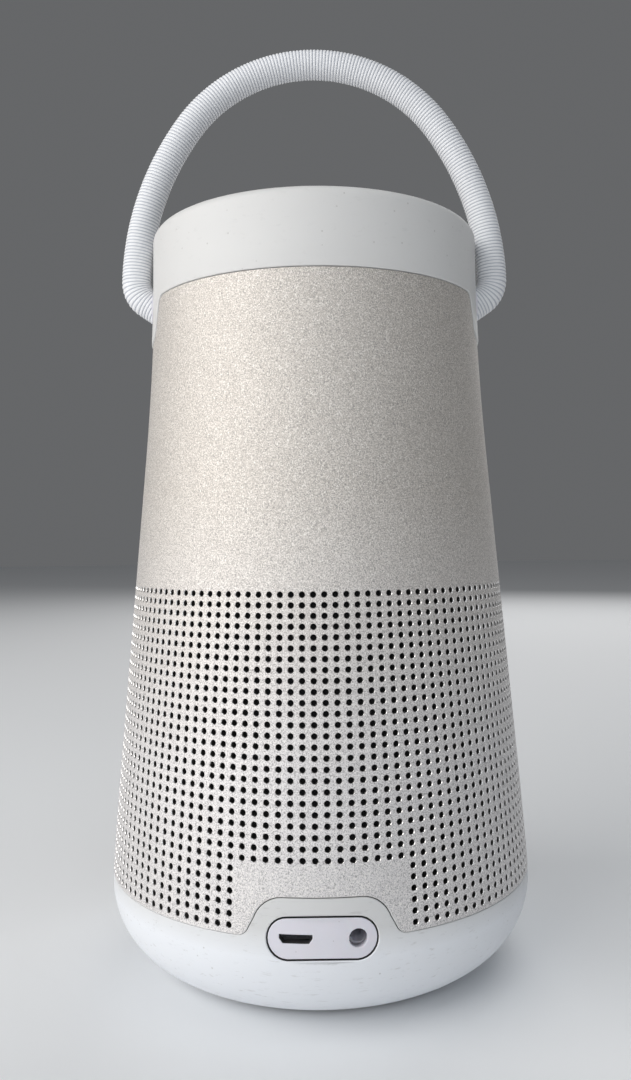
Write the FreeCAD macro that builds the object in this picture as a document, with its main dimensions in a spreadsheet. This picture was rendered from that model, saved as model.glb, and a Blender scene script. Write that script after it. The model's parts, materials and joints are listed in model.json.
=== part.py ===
import FreeCAD, Part
import math
import os
import re

import Sketcher

# Portable bluetooth speaker: a tapered aluminium sleeve on a silicone boot, a silicone band and a
# control pad on top, and a carrying handle that swings over the top. Millimetres, +Z up. The origin
# is at the centre of the base, on the surface that the speaker stands on. The ports face -Y and
# the handle turns about X.

# ---------------------------------------------------------------------------------------------
# Driving dimensions. All heights (names that end in _z) are above the standing surface.
# ---------------------------------------------------------------------------------------------
SIZES = {
    # Aluminium sleeve: a skirt curve, a straight cone and a shoulder curve
    "seam_r": 52.8, "seam_z": 22.07,
    "skirt_r": 50.8, "skirt_z": 50, "skirt_curve": 1350,
    "shoulder_r": 44.8, "shoulder_z": 125, "shoulder_curve": 800,
    "neck_r": 42.7, "neck_z": 165.1,
    "sleeve_wall": 1.3, "seam_gap": 0.06,
    # Cloth behind the perforated zone
    "cloth_gap": 0.15, "cloth_thick": 0.45, "cloth_low_z": 23.2, "cloth_top_z": 95,
    # Arch of the boot round the ports
    "arch_top_z": 30.1, "arch_top_x": 8.5, "arch_corner": 6.5, "arch_side_x": 14.2, "arch_side_z": 25.9,
    "arch_foot_x": 15.3, "arch_foot_z": 23.9, "arch_flare": 2.6, "arch_end_x": 17.9, "arch_gap": 0.1,
    # Silicone boot: two tangent arcs from the seam to the foot
    "boot_wall": 2.2, "boot_bend_z": 20, "heel_curve": 18.8, "heel_r": 47.1, "heel_z": 6.5,
    "sole_curve": 20.8, "sole_r": 37.6, "sole_z": 1.2, "sole_hole_r": 31, "tongue_r": 52.5,
    # Foot ring
    "foot_in_r": 32.6, "foot_out_r": 36.4, "foot_top_z": 1.8,
    # Port plate and its two sockets
    "port_z": 22.05, "plate_half_x": 11.35, "plate_round": 4.08, "plate_gap": 0.3, "plate_face_r": 52.45,
    "usb_x": -5.5, "usb_wide": 6.9, "usb_high": 1.8, "usb_shell": 0.35, "usb_deep": 5.6,
    "usb_tongue": 0.6, "jack_x": 7.4, "jack_r": 1.8, "jack_barrel_r": 2.75, "jack_deep": 14,
    "jack_half": 3, "socket_y": 49.3, "jack_way_r": 1.9,
    # Base plate inside the boot
    "base_r": 50.45, "base_wall": 2.2, "base_rim_z": 25.2, "base_hub_z": 1.6, "base_hub_r": 30.8,
    "boss_top_z": 10.5, "boss_r": 8,
    "insert_r": 5, "insert_low_z": 1.4, "insert_top_z": 9.4, "thread_r": 2.6, "thread_deep": 7,
    "contact_r": 1.5, "contact_y": 14, "contact_pitch": 6, "contact_low_z": 1.3, "contact_top_z": 4.4,
    # Main board, its parts and posts
    "main_board_r": 40.5, "main_board_z": 18.9, "board_thick": 1.6, "main_tab_x": 12, "main_tab_y": 47.4,
    "main_post_r": 3, "main_post_at": 32,
    # Deflector
    "deflector_r": 50.1, "deflector_z": 25.25, "deflector_thick": 1.8, "deflector_tip_z": 41,
    "deflector_curve": 42, "deflector_foot_r": 33, "deflector_tip_r": 1.5,
    "column_r": 3.2, "column_at": 42.8,
    # Acoustic cabinet
    "cabinet_r": 37.9, "cabinet_wall": 2.2, "cabinet_flange_r": 46.3, "cabinet_z": 48.6,
    "cabinet_floor": 2.4, "cabinet_top_z": 148, "cabinet_mouth_r": 27.5, "lid_thick": 2.4,
    "lid_boss_at": 34.5, "lid_boss_r": 3, "lid_boss_z": 136,
    # Driver: chassis, motor and moving cone
    "basket_r": 32, "basket_z": 46.6, "basket_rim": 1.4, "gasket_r": 27.6, "basket_neck_r": 16.6,
    "basket_neck_z": 62, "basket_skin": 1.2, "plate_r": 15.5, "gap_low_z": 64, "gap_top_z": 67,
    "magnet_r": 14.6, "magnet_hole_r": 8.4, "magnet_top_z": 73, "back_plate_top_z": 76,
    "pole_r": 6.3, "pole_low_z": 63.5, "gap_r": 7.7,
    "coil_in_r": 6.75, "coil_out_r": 7.35, "coil_low_z": 57, "coil_top_z": 69.5,
    "cone_r": 20.6, "cone_mouth_z": 48.6, "cone_skin": 0.45, "cap_curve": 10,
    "roll_out_r": 25.9, "basket_mouth_r": 27.1, "roll_curve": 2.9, "roll_skin": 0.5, "spider_z": 61,
    # Passive radiators on the left and right of the cabinet
    "radiator_z": 74, "radiator_seat_x": 39, "radiator_inset_x": 29, "radiator_r": 22.2,
    "radiator_hole_r": 19.5, "radiator_rim": 1.7, "weight_r": 13, "weight_thick": 1.8,
    "weight_x": 38.8, "radiator_roll": 3.4,
    # Battery
    "cell_r": 9.2, "cell_long": 65.2, "cell_y": 10.2, "cell_z": 80.7, "holder_wall": 1.6,
    "holder_z": 79, "holder_gap": 0.4,
    # Top housing
    "housing_r": 41.2, "housing_wall": 2, "housing_z": 150.4, "housing_floor": 2, "housing_top_z": 181,
    "ledge_r": 37.8, "ledge_low_z": 176.5, "ledge_top_z": 178,
    "bearing_r": 6.5, "bearing_end_x": 31.5, "bearing_face_x": 40.4, "bearing_bore_r": 3.06,
    "control_post_at": 31, "control_post_r": 2.8,
    # Band and tabs
    "band_r": 43, "band_in_r": 41.25, "band_top_z": 184, "band_edge": 2.5, "lip_r": 37.5, "lip_z": 181.05,
    "tab_low_z": 154.5, "tab_low_r": 43.4, "tab_low_y": 11.3, "tab_corner": 4.2, "tab_side_y": 15.3,
    "tab_side_z": 158.4, "tab_foot_y": 16.7, "tab_foot_z": 162.3, "tab_flare": 3, "tab_end_y": 19.4,
    # Control pad, deck, board and buttons
    "pad_r": 37.35, "pad_z": 180.1, "pad_top_z": 182.5, "deck_r": 39, "deck_z": 178, "deck_top_z": 180,
    "control_board_r": 35.8, "control_board_z": 172,
    "button_at": 23, "button_r": 4.9, "button_hole_r": 5.15, "button_skirt_r": 2.2, "stem_hole_r": 2.45,
    "button_z": 180.9, "button_top_z": 182.9, "stem_z": 176.8, "icon_high": 0.3, "icon_stroke": 0.7,
    "switch_half": 2.3, "switch_high": 1.6, "plunger_r": 1.1, "plunger_high": 0.75,
    "light_at": 31.5, "light_r": 1, "light_gap": 0.15, "light_z": 174.7, "microphone_r": 0.6,
    "antenna_in_r": 13, "antenna_out_r": 16, "antenna_thick": 0.1,
    # Handle
    "pivot_z": 165, "coin_r": 5.3, "coin_hole_r": 5.55, "coin_in_x": 40.5, "coin_out_x": 43.2,
    "shaft_r": 3, "shaft_end_x": 29.4, "clip_x": 30.2, "clip_thick": 0.6, "clip_r": 5, "groove_r": 2.5,
    "washer_thick": 0.55, "washer_r": 5.6, "apex_z": 233.6, "crown_radius": 41.6, "crown_angle": 54.4,
    "side_radius": 76.6, "side_angle": 32, "hip_radius": 52, "bend_radius": 6.9, "bend_angle": 56, "tail": 5,
    "grip_r": 3.9, "core_r": 2.6,
    # Ribbon cable between the two boards
    "ribbon_y": 38.4, "ribbon_thick": 0.3, "ribbon_wide": 8, "ribbon_bend": 1.2,
    "ribbon_top_z": 174.8, "ribbon_low_z": 22.9, "plug_deep": 4.5, "plug_high": 2.4,
    "top_plug_y": 34.8, "low_plug_y": 32, "slot_half_x": 4.7, "slot_out_y": 39.1,
    # Screws
    "case_screw_r": 1.2, "case_screw_long": 10, "case_head_r": 2.2, "case_head_high": 1.4,
    "small_screw_r": 1, "small_screw_long": 6, "small_head_r": 1.9, "small_head_high": 1.2,
    "driver_screw_at": 29.8, "base_screw_at": 44.2,
}

# Screw positions round the axis, in degrees from +X
COLUMN_ANGLES = (45, 135, 225, 315)
BASE_SCREW_ANGLES = (0, 120, 240)
CONTROL_POST_ANGLES = (67.5, 157.5, 247.5, 337.5)
MAIN_POST_ANGLES = (30, 150, 270)

# The four charging contacts, in contact pitches from the middle
CONTACT_PLACES = (-1.5, -0.5, 0.5, 1.5)

# The six buttons, by angle on the top: 270 is the side with the ports
BUTTONS = {
    "play_button": 270,
    "volume_up_button": 330,
    "source_button": 30,
    "wireless_button": 90,
    "power_button": 150,
    "volume_down_button": 210,
}

doc = FreeCAD.newDocument("speaker")
sheet = doc.addObject("Spreadsheet::Sheet", "sizes")
subparts = []


def fill_sheet():
    """Put every driving dimension in the sheet under its own name."""
    for row, (alias, value) in enumerate(SIZES.items(), start=1):
        sheet.set(f"A{row}", str(value))
        sheet.setAlias(f"A{row}", alias)
    doc.recompute()


def number(expression):
    """The value of an expression written in the sheet's names."""
    return float(sheet.evalExpression(expression))


def bind(thing, property_name, expression):
    """Tie a property to an expression written in the sheet's names."""
    def in_sheet(word):
        return f"sizes.{word[0]}" if word[0] in SIZES else word[0]

    thing.setExpression(property_name, re.sub(r"[a-z_]\w*", in_sheet, expression))


def keep(thing, label):
    """Count an object as a sub-part, under the name of its file."""
    thing.Label = label
    subparts.append(thing)
    return thing


def polar(radius, angle):
    """The x and y expressions of a point at an angle round the axis."""
    return f"({radius}) * cos({angle})", f"({radius}) * sin({angle})"


# ---------------------------------------------------------------------------------------------
# Sketches. A loop is a list of points (x, y), or (x, y, radius, turn) where the edge that arrives
# at the point is an arc that turns "left" or "right". A circle is ("circle", x, y, radius).
# ---------------------------------------------------------------------------------------------
PLANES = {"top": "XY_Plane", "front": "XZ_Plane", "side": "YZ_Plane"}


def rectangle(low_x, low_y, high_x, high_y):
    return [(low_x, low_y), (high_x, low_y), (high_x, high_y), (low_x, high_y)]


def circle(x, y, radius):
    return ("circle", x, y, radius)


def circles(radius, at, angles):
    return [circle(*polar(at, angle), radius) for angle in angles]


def stadium(x, y, half_length, radius):
    """A slot shape whose round ends have the given radius, each end made of two quarter turns."""
    left, right = f"{x} - ({half_length}) + {radius}", f"{x} + {half_length} - ({radius})"
    low, high = f"{y} - ({radius})", f"{y} + {radius}"
    return [
        (right, low),
        (f"{x} + {half_length}", y, radius, "left"),
        (right, high, radius, "left"),
        (left, high),
        (f"{x} - ({half_length})", y, radius, "left"),
        (left, low, radius, "left"),
    ]


def arc_between(start, end, radius, turn):
    """The short arc from start to end, and which of its ends the path reaches first."""
    side = 1 if turn == "left" else -1
    chord = end - start
    reach = math.sqrt(max(radius ** 2 - chord.Length ** 2 / 4, 0))
    normal = FreeCAD.Vector(-chord.y, chord.x, 0).normalize()
    centre = (start + end) / 2 + normal * reach * side
    first, last = (start, end) if turn == "left" else (end, start)
    first_angle = math.atan2(first.y - centre.y, first.x - centre.x)
    last_angle = math.atan2(last.y - centre.y, last.x - centre.x)
    if last_angle < first_angle:
        last_angle += 2 * math.pi
    round_edge = Part.Circle(centre, FreeCAD.Vector(0, 0, 1), radius)
    return Part.ArcOfCircle(round_edge, first_angle, last_angle), (1, 2) if turn == "left" else (2, 1)


def fix(sketch, kind, *places, value):
    """Add a sketch dimension and tie it to its expression."""
    index = sketch.addConstraint(Sketcher.Constraint(kind, *places, number(value)))
    bind(sketch, f"Constraints[{index}]", value)


def draw_circle(sketch, x, y, radius):
    place = FreeCAD.Vector(number(x), number(y), 0)
    edge = sketch.addGeometry(Part.Circle(place, FreeCAD.Vector(0, 0, 1), number(radius)), False)
    fix(sketch, "DistanceX", -1, 1, edge, 3, value=x)
    fix(sketch, "DistanceY", -1, 1, edge, 3, value=y)
    fix(sketch, "Radius", edge, value=radius)


def draw_loop(sketch, points, closed=True):
    """Draw lines and arcs through the points, each end held by its two coordinates."""
    places = [FreeCAD.Vector(number(point[0]), number(point[1]), 0) for point in points]
    edges = []
    for index in range(0 if closed else 1, len(points)):
        start, end = places[index - 1], places[index]
        if len(points[index]) == 4:
            radius, turn = points[index][2:]
            shape, ends = arc_between(start, end, number(radius), turn)
            edge = sketch.addGeometry(shape, False)
            fix(sketch, "Radius", edge, value=radius)
        else:
            edge, ends = sketch.addGeometry(Part.LineSegment(start, end), False), (1, 2)
        edges.append((edge, ends))
        fix(sketch, "DistanceX", -1, 1, edge, ends[1], value=points[index][0])
        fix(sketch, "DistanceY", -1, 1, edge, ends[1], value=points[index][1])
    joints = zip(edges, edges[1:] + edges[:1]) if closed else zip(edges, edges[1:])
    for (edge, ends), (following, following_ends) in joints:
        sketch.addConstraint(Sketcher.Constraint("Coincident", edge, ends[1], following, following_ends[0]))
    if not closed:
        fix(sketch, "DistanceX", -1, 1, edges[0][0], edges[0][1][0], value=points[0][0])
        fix(sketch, "DistanceY", -1, 1, edges[0][0], edges[0][1][0], value=points[0][1])


def sketch_on(body, plane, shape, offset="0", closed=True):
    """A sketch on one of the body's own origin planes, moved along the plane's normal."""
    sketch = body.newObject("Sketcher::SketchObject", "Sketch")
    role = PLANES[plane]
    sketch.AttachmentSupport = [(next(f for f in body.Origin.OriginFeatures if f.Role == role), "")]
    sketch.MapMode = "FlatFace"
    bind(sketch, "AttachmentOffset.Base.z", offset)
    for loop in shape:
        if loop[0] == "circle":
            draw_circle(sketch, *loop[1:])
        else:
            draw_loop(sketch, loop, closed)
    return sketch


# ---------------------------------------------------------------------------------------------
# Features. Distances run along the plane's normal: up on "top", towards -Y on "front", +X on "side".
# ---------------------------------------------------------------------------------------------
def add_slab(body, plane, shape, low, high):
    pad = body.newObject("PartDesign::Pad", "Pad")
    pad.Profile = sketch_on(body, plane, shape, low)
    bind(pad, "Length", f"({high}) - ({low})")
    return pad


def cut_slab(body, plane, shape, low, high):
    """Take the slab between two distances out of the body, and make sure that it removed something."""
    doc.recompute()
    before = body.Shape.Volume
    pocket = body.newObject("PartDesign::Pocket", "Pocket")
    pocket.Profile = sketch_on(body, plane, shape, high)
    bind(pocket, "Length", f"({high}) - ({low})")
    doc.recompute()
    if body.Shape.Volume > before - 1e-3:
        raise RuntimeError(f"a pocket in {body.Label} cut nothing")
    return pocket


def turn_about(body, axis, shape, plane="front", degrees=360, kind="PartDesign::Revolution"):
    """Revolve a half section about the sketch's own vertical (V_Axis) or horizontal (H_Axis) axis."""
    turning = body.newObject(kind, "Turning")
    turning.Profile = sketch_on(body, plane, shape)
    turning.ReferenceAxis = (turning.Profile[0], [axis])
    turning.Angle = degrees
    turning.Midplane = degrees < 360
    return turning


def mirror(body, feature):
    """Repeat a feature on the other side of the YZ plane."""
    doc.recompute()
    mirrored = body.newObject("PartDesign::Mirrored", "Mirrored")
    mirrored.Originals = [feature]
    mirrored.MirrorPlane = (next(f for f in body.Origin.OriginFeatures if f.Role == "YZ_Plane"), [""])
    body.Tip = mirrored
    return mirrored


def new_body(label):
    return keep(doc.addObject("PartDesign::Body", label), label)


def turned(label, half_section):
    """A sub-part turned about the speaker's axis, from its half section (radius, height)."""
    body = new_body(label)
    turn_about(body, "V_Axis", [half_section])
    return body


def cylinder(x, y, z, radius, height):
    """An upright cylinder that stands on its lower centre."""
    solid = doc.addObject("Part::Cylinder", "Cylinder")
    for property_name, expression in (
        ("Radius", radius), ("Height", height),
        ("Placement.Base.x", x), ("Placement.Base.y", y), ("Placement.Base.z", z),
    ):
        bind(solid, property_name, expression)
    return solid


def block(low, size):
    """A box from its lowest corner and its three sizes."""
    solid = doc.addObject("Part::Box", "Box")
    names = ("Placement.Base.x", "Placement.Base.y", "Placement.Base.z", "Length", "Width", "Height")
    for property_name, expression in zip(names, (*low, *size)):
        bind(solid, property_name, expression)
    return solid


def joined(*solids):
    fuse = doc.addObject("Part::MultiFuse", "Joined")
    fuse.Shapes = list(solids)
    return fuse


def group(label, solids):
    """Separate solids of one kind that share a node."""
    compound = doc.addObject("Part::Compound", label)
    compound.Links = list(solids)
    return keep(compound, label)


# ---------------------------------------------------------------------------------------------
# Outer shell
# ---------------------------------------------------------------------------------------------
def sleeve_section(outside, inside, low_z, top_z, low_r, top_r):
    """Half section of a thin wall that follows the sleeve, between two offsets from its outer face."""
    return [
        (f"{low_r} - ({outside})", low_z),
        (f"skirt_r - ({outside})", "skirt_z", "skirt_curve", "left"),
        (f"shoulder_r - ({outside})", "shoulder_z"),
        (f"{top_r} - ({outside})", top_z, "shoulder_curve", "right"),
        (f"{top_r} - ({inside})", top_z),
        (f"shoulder_r - ({inside})", "shoulder_z", "shoulder_curve", "left"),
        (f"skirt_r - ({inside})", "skirt_z"),
        (f"{low_r} - ({inside})", low_z, "skirt_curve", "right"),
    ]


def arch(gap, floor_z):
    """Outline of the boot's arch round the ports, from floor_z up, widened by gap."""
    def side(sign):
        return [
            (f"{sign}(arch_end_x + {gap})", "seam_z"),
            (f"{sign}(arch_foot_x + {gap})", "arch_foot_z"),
            (f"{sign}(arch_side_x + {gap})", "arch_side_z"),
            (f"{sign}arch_top_x", f"arch_top_z + {gap}"),
        ]

    end, foot, flank, top = side("")
    left_end, left_foot, left_flank, left_top = side("-")
    return [
        (left_end[0], floor_z),
        (end[0], floor_z),
        end,
        (*foot, "arch_flare", "right"),
        flank,
        (*top, "arch_corner", "left"),
        left_top,
        (*left_flank, "arch_corner", "left"),
        left_foot,
        (*left_end, "arch_flare", "right"),
    ]


def tab(gap, roof_z):
    """Outline of a band tab in y and z, hanging from roof_z, widened by gap."""
    end = f"tab_end_y + {gap}"
    foot = f"tab_foot_y + {gap}"
    flank = f"tab_side_y + {gap}"
    low = f"tab_low_z - {gap}"
    return [
        ("tab_low_y", low),
        (flank, "tab_side_z", "tab_corner", "left"),
        (foot, "tab_foot_z"),
        (end, "neck_z", "tab_flare", "right"),
        (end, roof_z),
        (f"-({end})", roof_z),
        (f"-({end})", "neck_z"),
        (f"-({foot})", "tab_foot_z", "tab_flare", "right"),
        (f"-({flank})", "tab_side_z"),
        ("-tab_low_y", low, "tab_corner", "left"),
    ]


def aluminium_sleeve():
    body = turned("aluminium_sleeve", sleeve_section(
        "0", "sleeve_wall", "seam_z + seam_gap", "neck_z - seam_gap", "seam_r", "neck_r"))
    cut_slab(body, "front", [arch("arch_gap", "seam_z - 1")], "seam_r - 8", "seam_r + 1")
    cut_slab(body, "side", [tab("arch_gap", "neck_z + 1")], "-seam_r", "seam_r")


def grille_cloth():
    """Woven cloth ring that backs the perforated zone, open at the arch."""
    outside = "sleeve_wall + cloth_gap"
    inside = "sleeve_wall + cloth_gap + cloth_thick"
    straight = "(skirt_r - (skirt_r - shoulder_r) * (cloth_top_z - skirt_z) / (shoulder_z - skirt_z))"
    body = turned("grille_cloth", [
        (f"seam_r - ({outside})", "cloth_low_z"),
        (f"skirt_r - ({outside})", "skirt_z", "skirt_curve", "left"),
        (f"{straight} - ({outside})", "cloth_top_z"),
        (f"{straight} - ({inside})", "cloth_top_z"),
        (f"skirt_r - ({inside})", "skirt_z"),
        (f"seam_r - ({inside})", "cloth_low_z", "skirt_curve", "right"),
    ])
    notch = rectangle("-arch_end_x - 1", "seam_z", "arch_end_x + 1", "arch_top_z + 1.5")
    cut_slab(body, "front", [notch], "seam_r - 12", "seam_r + 1")


def top_band():
    """Silicone band: a ring with a rounded top edge, and a tab at each handle pivot."""
    body = turned("top_band", [
        ("band_r", "neck_z"),
        ("band_r", "band_top_z - band_edge"),
        ("band_r - band_edge", "band_top_z", "band_edge", "left"),
        ("lip_r", "band_top_z"),
        ("lip_r", "lip_z"),
        ("band_in_r", "lip_z"),
        ("band_in_r", "neck_z"),
    ])
    overlap_z = "neck_z + 1"
    tabs = turn_about(body, "V_Axis", [[
        ("tab_low_r", "tab_low_z"),
        ("band_r", "neck_z"),
        ("band_r", overlap_z),
        ("band_in_r", overlap_z),
        ("band_in_r", "tab_low_z"),
    ]], degrees=60)
    mirror(body, tabs)
    for sign, turn, back in (("-", "right", "left"), ("", "left", "right")):
        corner = [
            ("0", "tab_low_z - 1"),
            ("0", "tab_low_z"),
            (f"{sign}tab_low_y", "tab_low_z"),
            (f"{sign}tab_side_y", "tab_side_z", "tab_corner", turn),
            (f"{sign}tab_foot_y", "tab_foot_z"),
            (f"{sign}tab_end_y", "neck_z", "tab_flare", back),
            (f"{sign}band_r", "neck_z"),
            (f"{sign}band_r", "tab_low_z - 1"),
        ]
        cut_slab(body, "side", [corner], "-band_r - 1", "band_r + 1")
    cut_slab(body, "side", [circle("0", "pivot_z", "coin_hole_r")], "-band_r - 1", "band_r + 1")


def base_boot():
    """Silicone boot: a bowl with a sole hole, and a tongue that rises into the sleeve's arch."""
    body = turned("base_boot", [
        ("seam_r", "seam_z"),
        ("seam_r - boot_wall", "seam_z"),
        ("seam_r - boot_wall", "boot_bend_z"),
        ("heel_r - boot_wall * 0.7", "heel_z + boot_wall * 0.7", "heel_curve - boot_wall", "right"),
        ("sole_r - 0.4", "sole_z + boot_wall", "sole_curve - boot_wall", "right"),
        ("sole_hole_r", "sole_z + boot_wall"),
        ("sole_hole_r", "sole_z"),
        ("foot_in_r", "sole_z"),
        ("foot_in_r", "foot_top_z"),
        ("foot_out_r", "foot_top_z"),
        ("foot_out_r", "sole_z"),
        ("sole_r", "sole_z"),
        ("heel_r", "heel_z", "sole_curve", "left"),
        ("seam_r", "boot_bend_z", "heel_curve", "left"),
    ])
    turn_about(body, "V_Axis", [rectangle("-tongue_r", "seam_z - 1", "-base_r - 0.1", "arch_top_z")],
               plane="side", degrees=50)
    for sign, turn, back in (("-", "right", "left"), ("", "left", "right")):
        shoulder = [
            (f"{sign}arch_top_x", "arch_top_z"),
            (f"{sign}arch_side_x", "arch_side_z", "arch_corner", back),
            (f"{sign}arch_foot_x", "arch_foot_z"),
            (f"{sign}arch_end_x", "seam_z", "arch_flare", turn),
            (f"{sign}seam_r * 0.5", "seam_z"),
            (f"{sign}seam_r * 0.5", "arch_top_z + 1"),
            (f"{sign}arch_top_x", "arch_top_z + 1"),
        ]
        cut_slab(body, "front", [shoulder], "seam_r - 12", "seam_r + 1")
    cut_slab(body, "front", [stadium("0", "port_z", "plate_half_x + plate_gap", "plate_round + plate_gap")],
             "seam_r - 12", "seam_r + 1")


def port_plate():
    """Oval plate that carries the two port openings, curved like the boot."""
    body = new_body("port_plate")
    oval = stadium("0", "port_z", "plate_half_x", "plate_round")
    add_slab(body, "front", [oval], "base_r - 3", "seam_r + 1")
    outside = rectangle("plate_face_r", "port_z - 10", "seam_r + 10", "port_z + 10")
    turn_about(body, "V_Axis", [outside], kind="PartDesign::Groove")
    inside = rectangle("0", "port_z - 10", "base_r + 0.1", "port_z + 10")
    turn_about(body, "V_Axis", [inside], kind="PartDesign::Groove")
    cut_slab(body, "front", [usb_outline("0")], "base_r - 5", "seam_r + 1")
    cut_slab(body, "front", [circle("jack_x", "port_z", "jack_way_r")], "base_r - 5", "seam_r + 1")


def usb_outline(margin):
    """The micro-USB shape: a flat slot whose two lower corners are cut back, grown by margin."""
    half = f"(usb_wide / 2 + {margin})"
    high = f"(usb_high / 2 + {margin})"
    return [
        (f"usb_x - {half} + usb_high * 0.4", f"port_z - {high}"),
        (f"usb_x + {half} - usb_high * 0.4", f"port_z - {high}"),
        (f"usb_x + {half}", f"port_z + usb_high * 0.05"),
        (f"usb_x + {half}", f"port_z + {high}"),
        (f"usb_x - {half}", f"port_z + {high}"),
        (f"usb_x - {half}", f"port_z + usb_high * 0.05"),
    ]


def usb_socket():
    body = new_body("usb_socket")
    add_slab(body, "front", [usb_outline("usb_shell")], "socket_y - usb_deep", "socket_y")
    cut_slab(body, "front", [usb_outline("0")], "socket_y - usb_deep + 0.6", "socket_y")
    half = "usb_wide * 0.36"
    tongue = rectangle(f"usb_x - {half}", "port_z", f"usb_x + {half}", "port_z + usb_tongue")
    add_slab(body, "front", [tongue], "socket_y - usb_deep", "socket_y - 1.2")


def aux_socket():
    """3.5 mm socket: a square body and a round barrel, bored from the front."""
    body = new_body("aux_socket")
    square = rectangle("jack_x - jack_half", "port_z - jack_half",
                       "jack_x + jack_half", "port_z + jack_half")
    add_slab(body, "front", [square], "socket_y - jack_deep", "socket_y - 2")
    add_slab(body, "front", [circle("jack_x", "port_z", "jack_barrel_r")], "socket_y - 3", "socket_y")
    cut_slab(body, "front", [circle("jack_x", "port_z", "jack_r")], "socket_y - jack_deep + 2", "socket_y")


def foot_ring():
    turned("foot_ring", rectangle("foot_in_r", "0", "foot_out_r", "foot_top_z"))


def base_plate():
    """Bowl inside the boot, with the socket window, the tripod boss and the screw bosses."""
    slant = "boot_wall * 0.7"
    body = turned("base_plate", [
        ("0", "base_hub_z"),
        ("base_hub_r", "base_hub_z"),
        ("base_hub_r", "sole_z + boot_wall + 0.1"),
        ("sole_r - 0.5", "sole_z + boot_wall + 0.1"),
        (f"heel_r - {slant} - 0.1", f"heel_z + {slant} + 0.1", "sole_curve - boot_wall", "left"),
        ("base_r", "boot_bend_z", "heel_curve - boot_wall", "left"),
        ("base_r", "base_rim_z"),
        ("base_r - base_wall", "base_rim_z"),
        ("base_r - base_wall", "boot_bend_z"),
        (f"heel_r - {slant} * 2 - 0.2", f"heel_z + {slant} * 2", "heel_curve - boot_wall * 2", "right"),
        ("sole_r - 2", "sole_z + boot_wall * 2"),
        ("0", "sole_z + boot_wall * 2"),
    ])
    floor_z = "sole_z + boot_wall"
    add_slab(body, "top", [circle("0", "0", "boss_r")], floor_z, "boss_top_z")
    screw_bosses = circles("column_r", "base_screw_at", BASE_SCREW_ANGLES)
    add_slab(body, "top", screw_bosses, "heel_z + 4", "base_rim_z")
    add_slab(body, "top", circles("main_post_r", "main_post_at", MAIN_POST_ANGLES), floor_z, "main_board_z")
    cut_slab(body, "top", [circle("0", "0", "insert_r")], "base_hub_z - 1", "insert_top_z")
    contacts = [circle(f"contact_pitch * {place}", "contact_y", "contact_r") for place in CONTACT_PLACES]
    cut_slab(body, "top", contacts, "base_hub_z - 1", "boss_top_z")
    cut_slab(body, "top", circles("case_screw_r", "base_screw_at", BASE_SCREW_ANGLES),
             "deflector_z + deflector_thick - case_screw_long", "base_rim_z + 1")
    cut_slab(body, "top", circles("small_screw_r", "main_post_at", MAIN_POST_ANGLES),
             "main_board_z + board_thick - small_screw_long", "main_board_z + 1")
    window = rectangle("-main_tab_x - 0.3", "port_z - 4.2", "main_tab_x + 0.3", "base_rim_z + 1")
    cut_slab(body, "front", [window], "base_r - 6", "base_r + 1")


def tripod_insert():
    turned("tripod_insert", [
        ("thread_r", "insert_low_z"),
        ("insert_r", "insert_low_z"),
        ("insert_r", "insert_top_z"),
        ("0", "insert_top_z"),
        ("0", "insert_low_z + thread_deep"),
        ("thread_r", "insert_low_z + thread_deep"),
    ])


def charging_contacts():
    group("charging_contacts", [
        cylinder(f"contact_pitch * {place}", "contact_y", "contact_low_z", "contact_r",
                 "contact_top_z - contact_low_z")
        for place in CONTACT_PLACES
    ])


# ---------------------------------------------------------------------------------------------
# Inside the base: main board, ribbon cable, deflector
# ---------------------------------------------------------------------------------------------
def main_board():
    body = new_body("main_board")
    top_z = "main_board_z + board_thick"
    add_slab(body, "top", [circle("0", "0", "main_board_r")], "main_board_z", top_z)
    add_slab(body, "top", [rectangle("-main_tab_x", "-main_tab_y", "main_tab_x", "-main_board_r + 4")],
             "main_board_z", top_z)
    bay = rectangle("jack_x - jack_half - 0.1", "-main_tab_y - 1", "jack_x + jack_half + 0.1",
                    "jack_deep - socket_y + 0.1")
    cut_slab(body, "top", [bay], "main_board_z", top_z)
    cut_slab(body, "top", circles("small_screw_r", "main_post_at", MAIN_POST_ANGLES), "main_board_z", top_z)


def board_components():
    """Amplifier, processor, radio and coils on top of the main board."""
    top_z = "main_board_z + board_thick"
    chips = [
        ((-6, -22), (12, 12, 1.4)),
        ((-24, -12), (8, 8, 1.2)),
        ((14, -14), (10, 10, 3.2)),
        ((-22, 6), (7, 7, 3)),
        ((-6, 4), (12, 9, 1.6)),
        ((16, 6), (8, 14, 2.4)),
    ]
    group("board_components", [
        block((str(x), str(y), top_z), [str(length) for length in size]) for (x, y), size in chips
    ])


def ribbon_cable():
    """Flat cable from the control board, down behind the cabinet, to the main board."""
    body = new_body("ribbon_cable")
    outer_y = "ribbon_y + ribbon_thick"
    outer_bend = "ribbon_bend + ribbon_thick"
    add_slab(body, "side", [[
        ("top_plug_y", "ribbon_top_z"),
        (f"{outer_y} - {outer_bend}", "ribbon_top_z"),
        (outer_y, f"ribbon_top_z - {outer_bend}", outer_bend, "right"),
        (outer_y, f"ribbon_low_z + {outer_bend}"),
        (f"{outer_y} - {outer_bend}", "ribbon_low_z", outer_bend, "right"),
        ("low_plug_y", "ribbon_low_z"),
        ("low_plug_y", "ribbon_low_z + ribbon_thick"),
        ("ribbon_y - ribbon_bend", "ribbon_low_z + ribbon_thick"),
        ("ribbon_y", f"ribbon_low_z + {outer_bend}", "ribbon_bend", "left"),
        ("ribbon_y", f"ribbon_top_z - {outer_bend}"),
        ("ribbon_y - ribbon_bend", "ribbon_top_z - ribbon_thick", "ribbon_bend", "left"),
        ("top_plug_y", "ribbon_top_z - ribbon_thick"),
    ]], "-ribbon_wide / 2", "ribbon_wide / 2")


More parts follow.
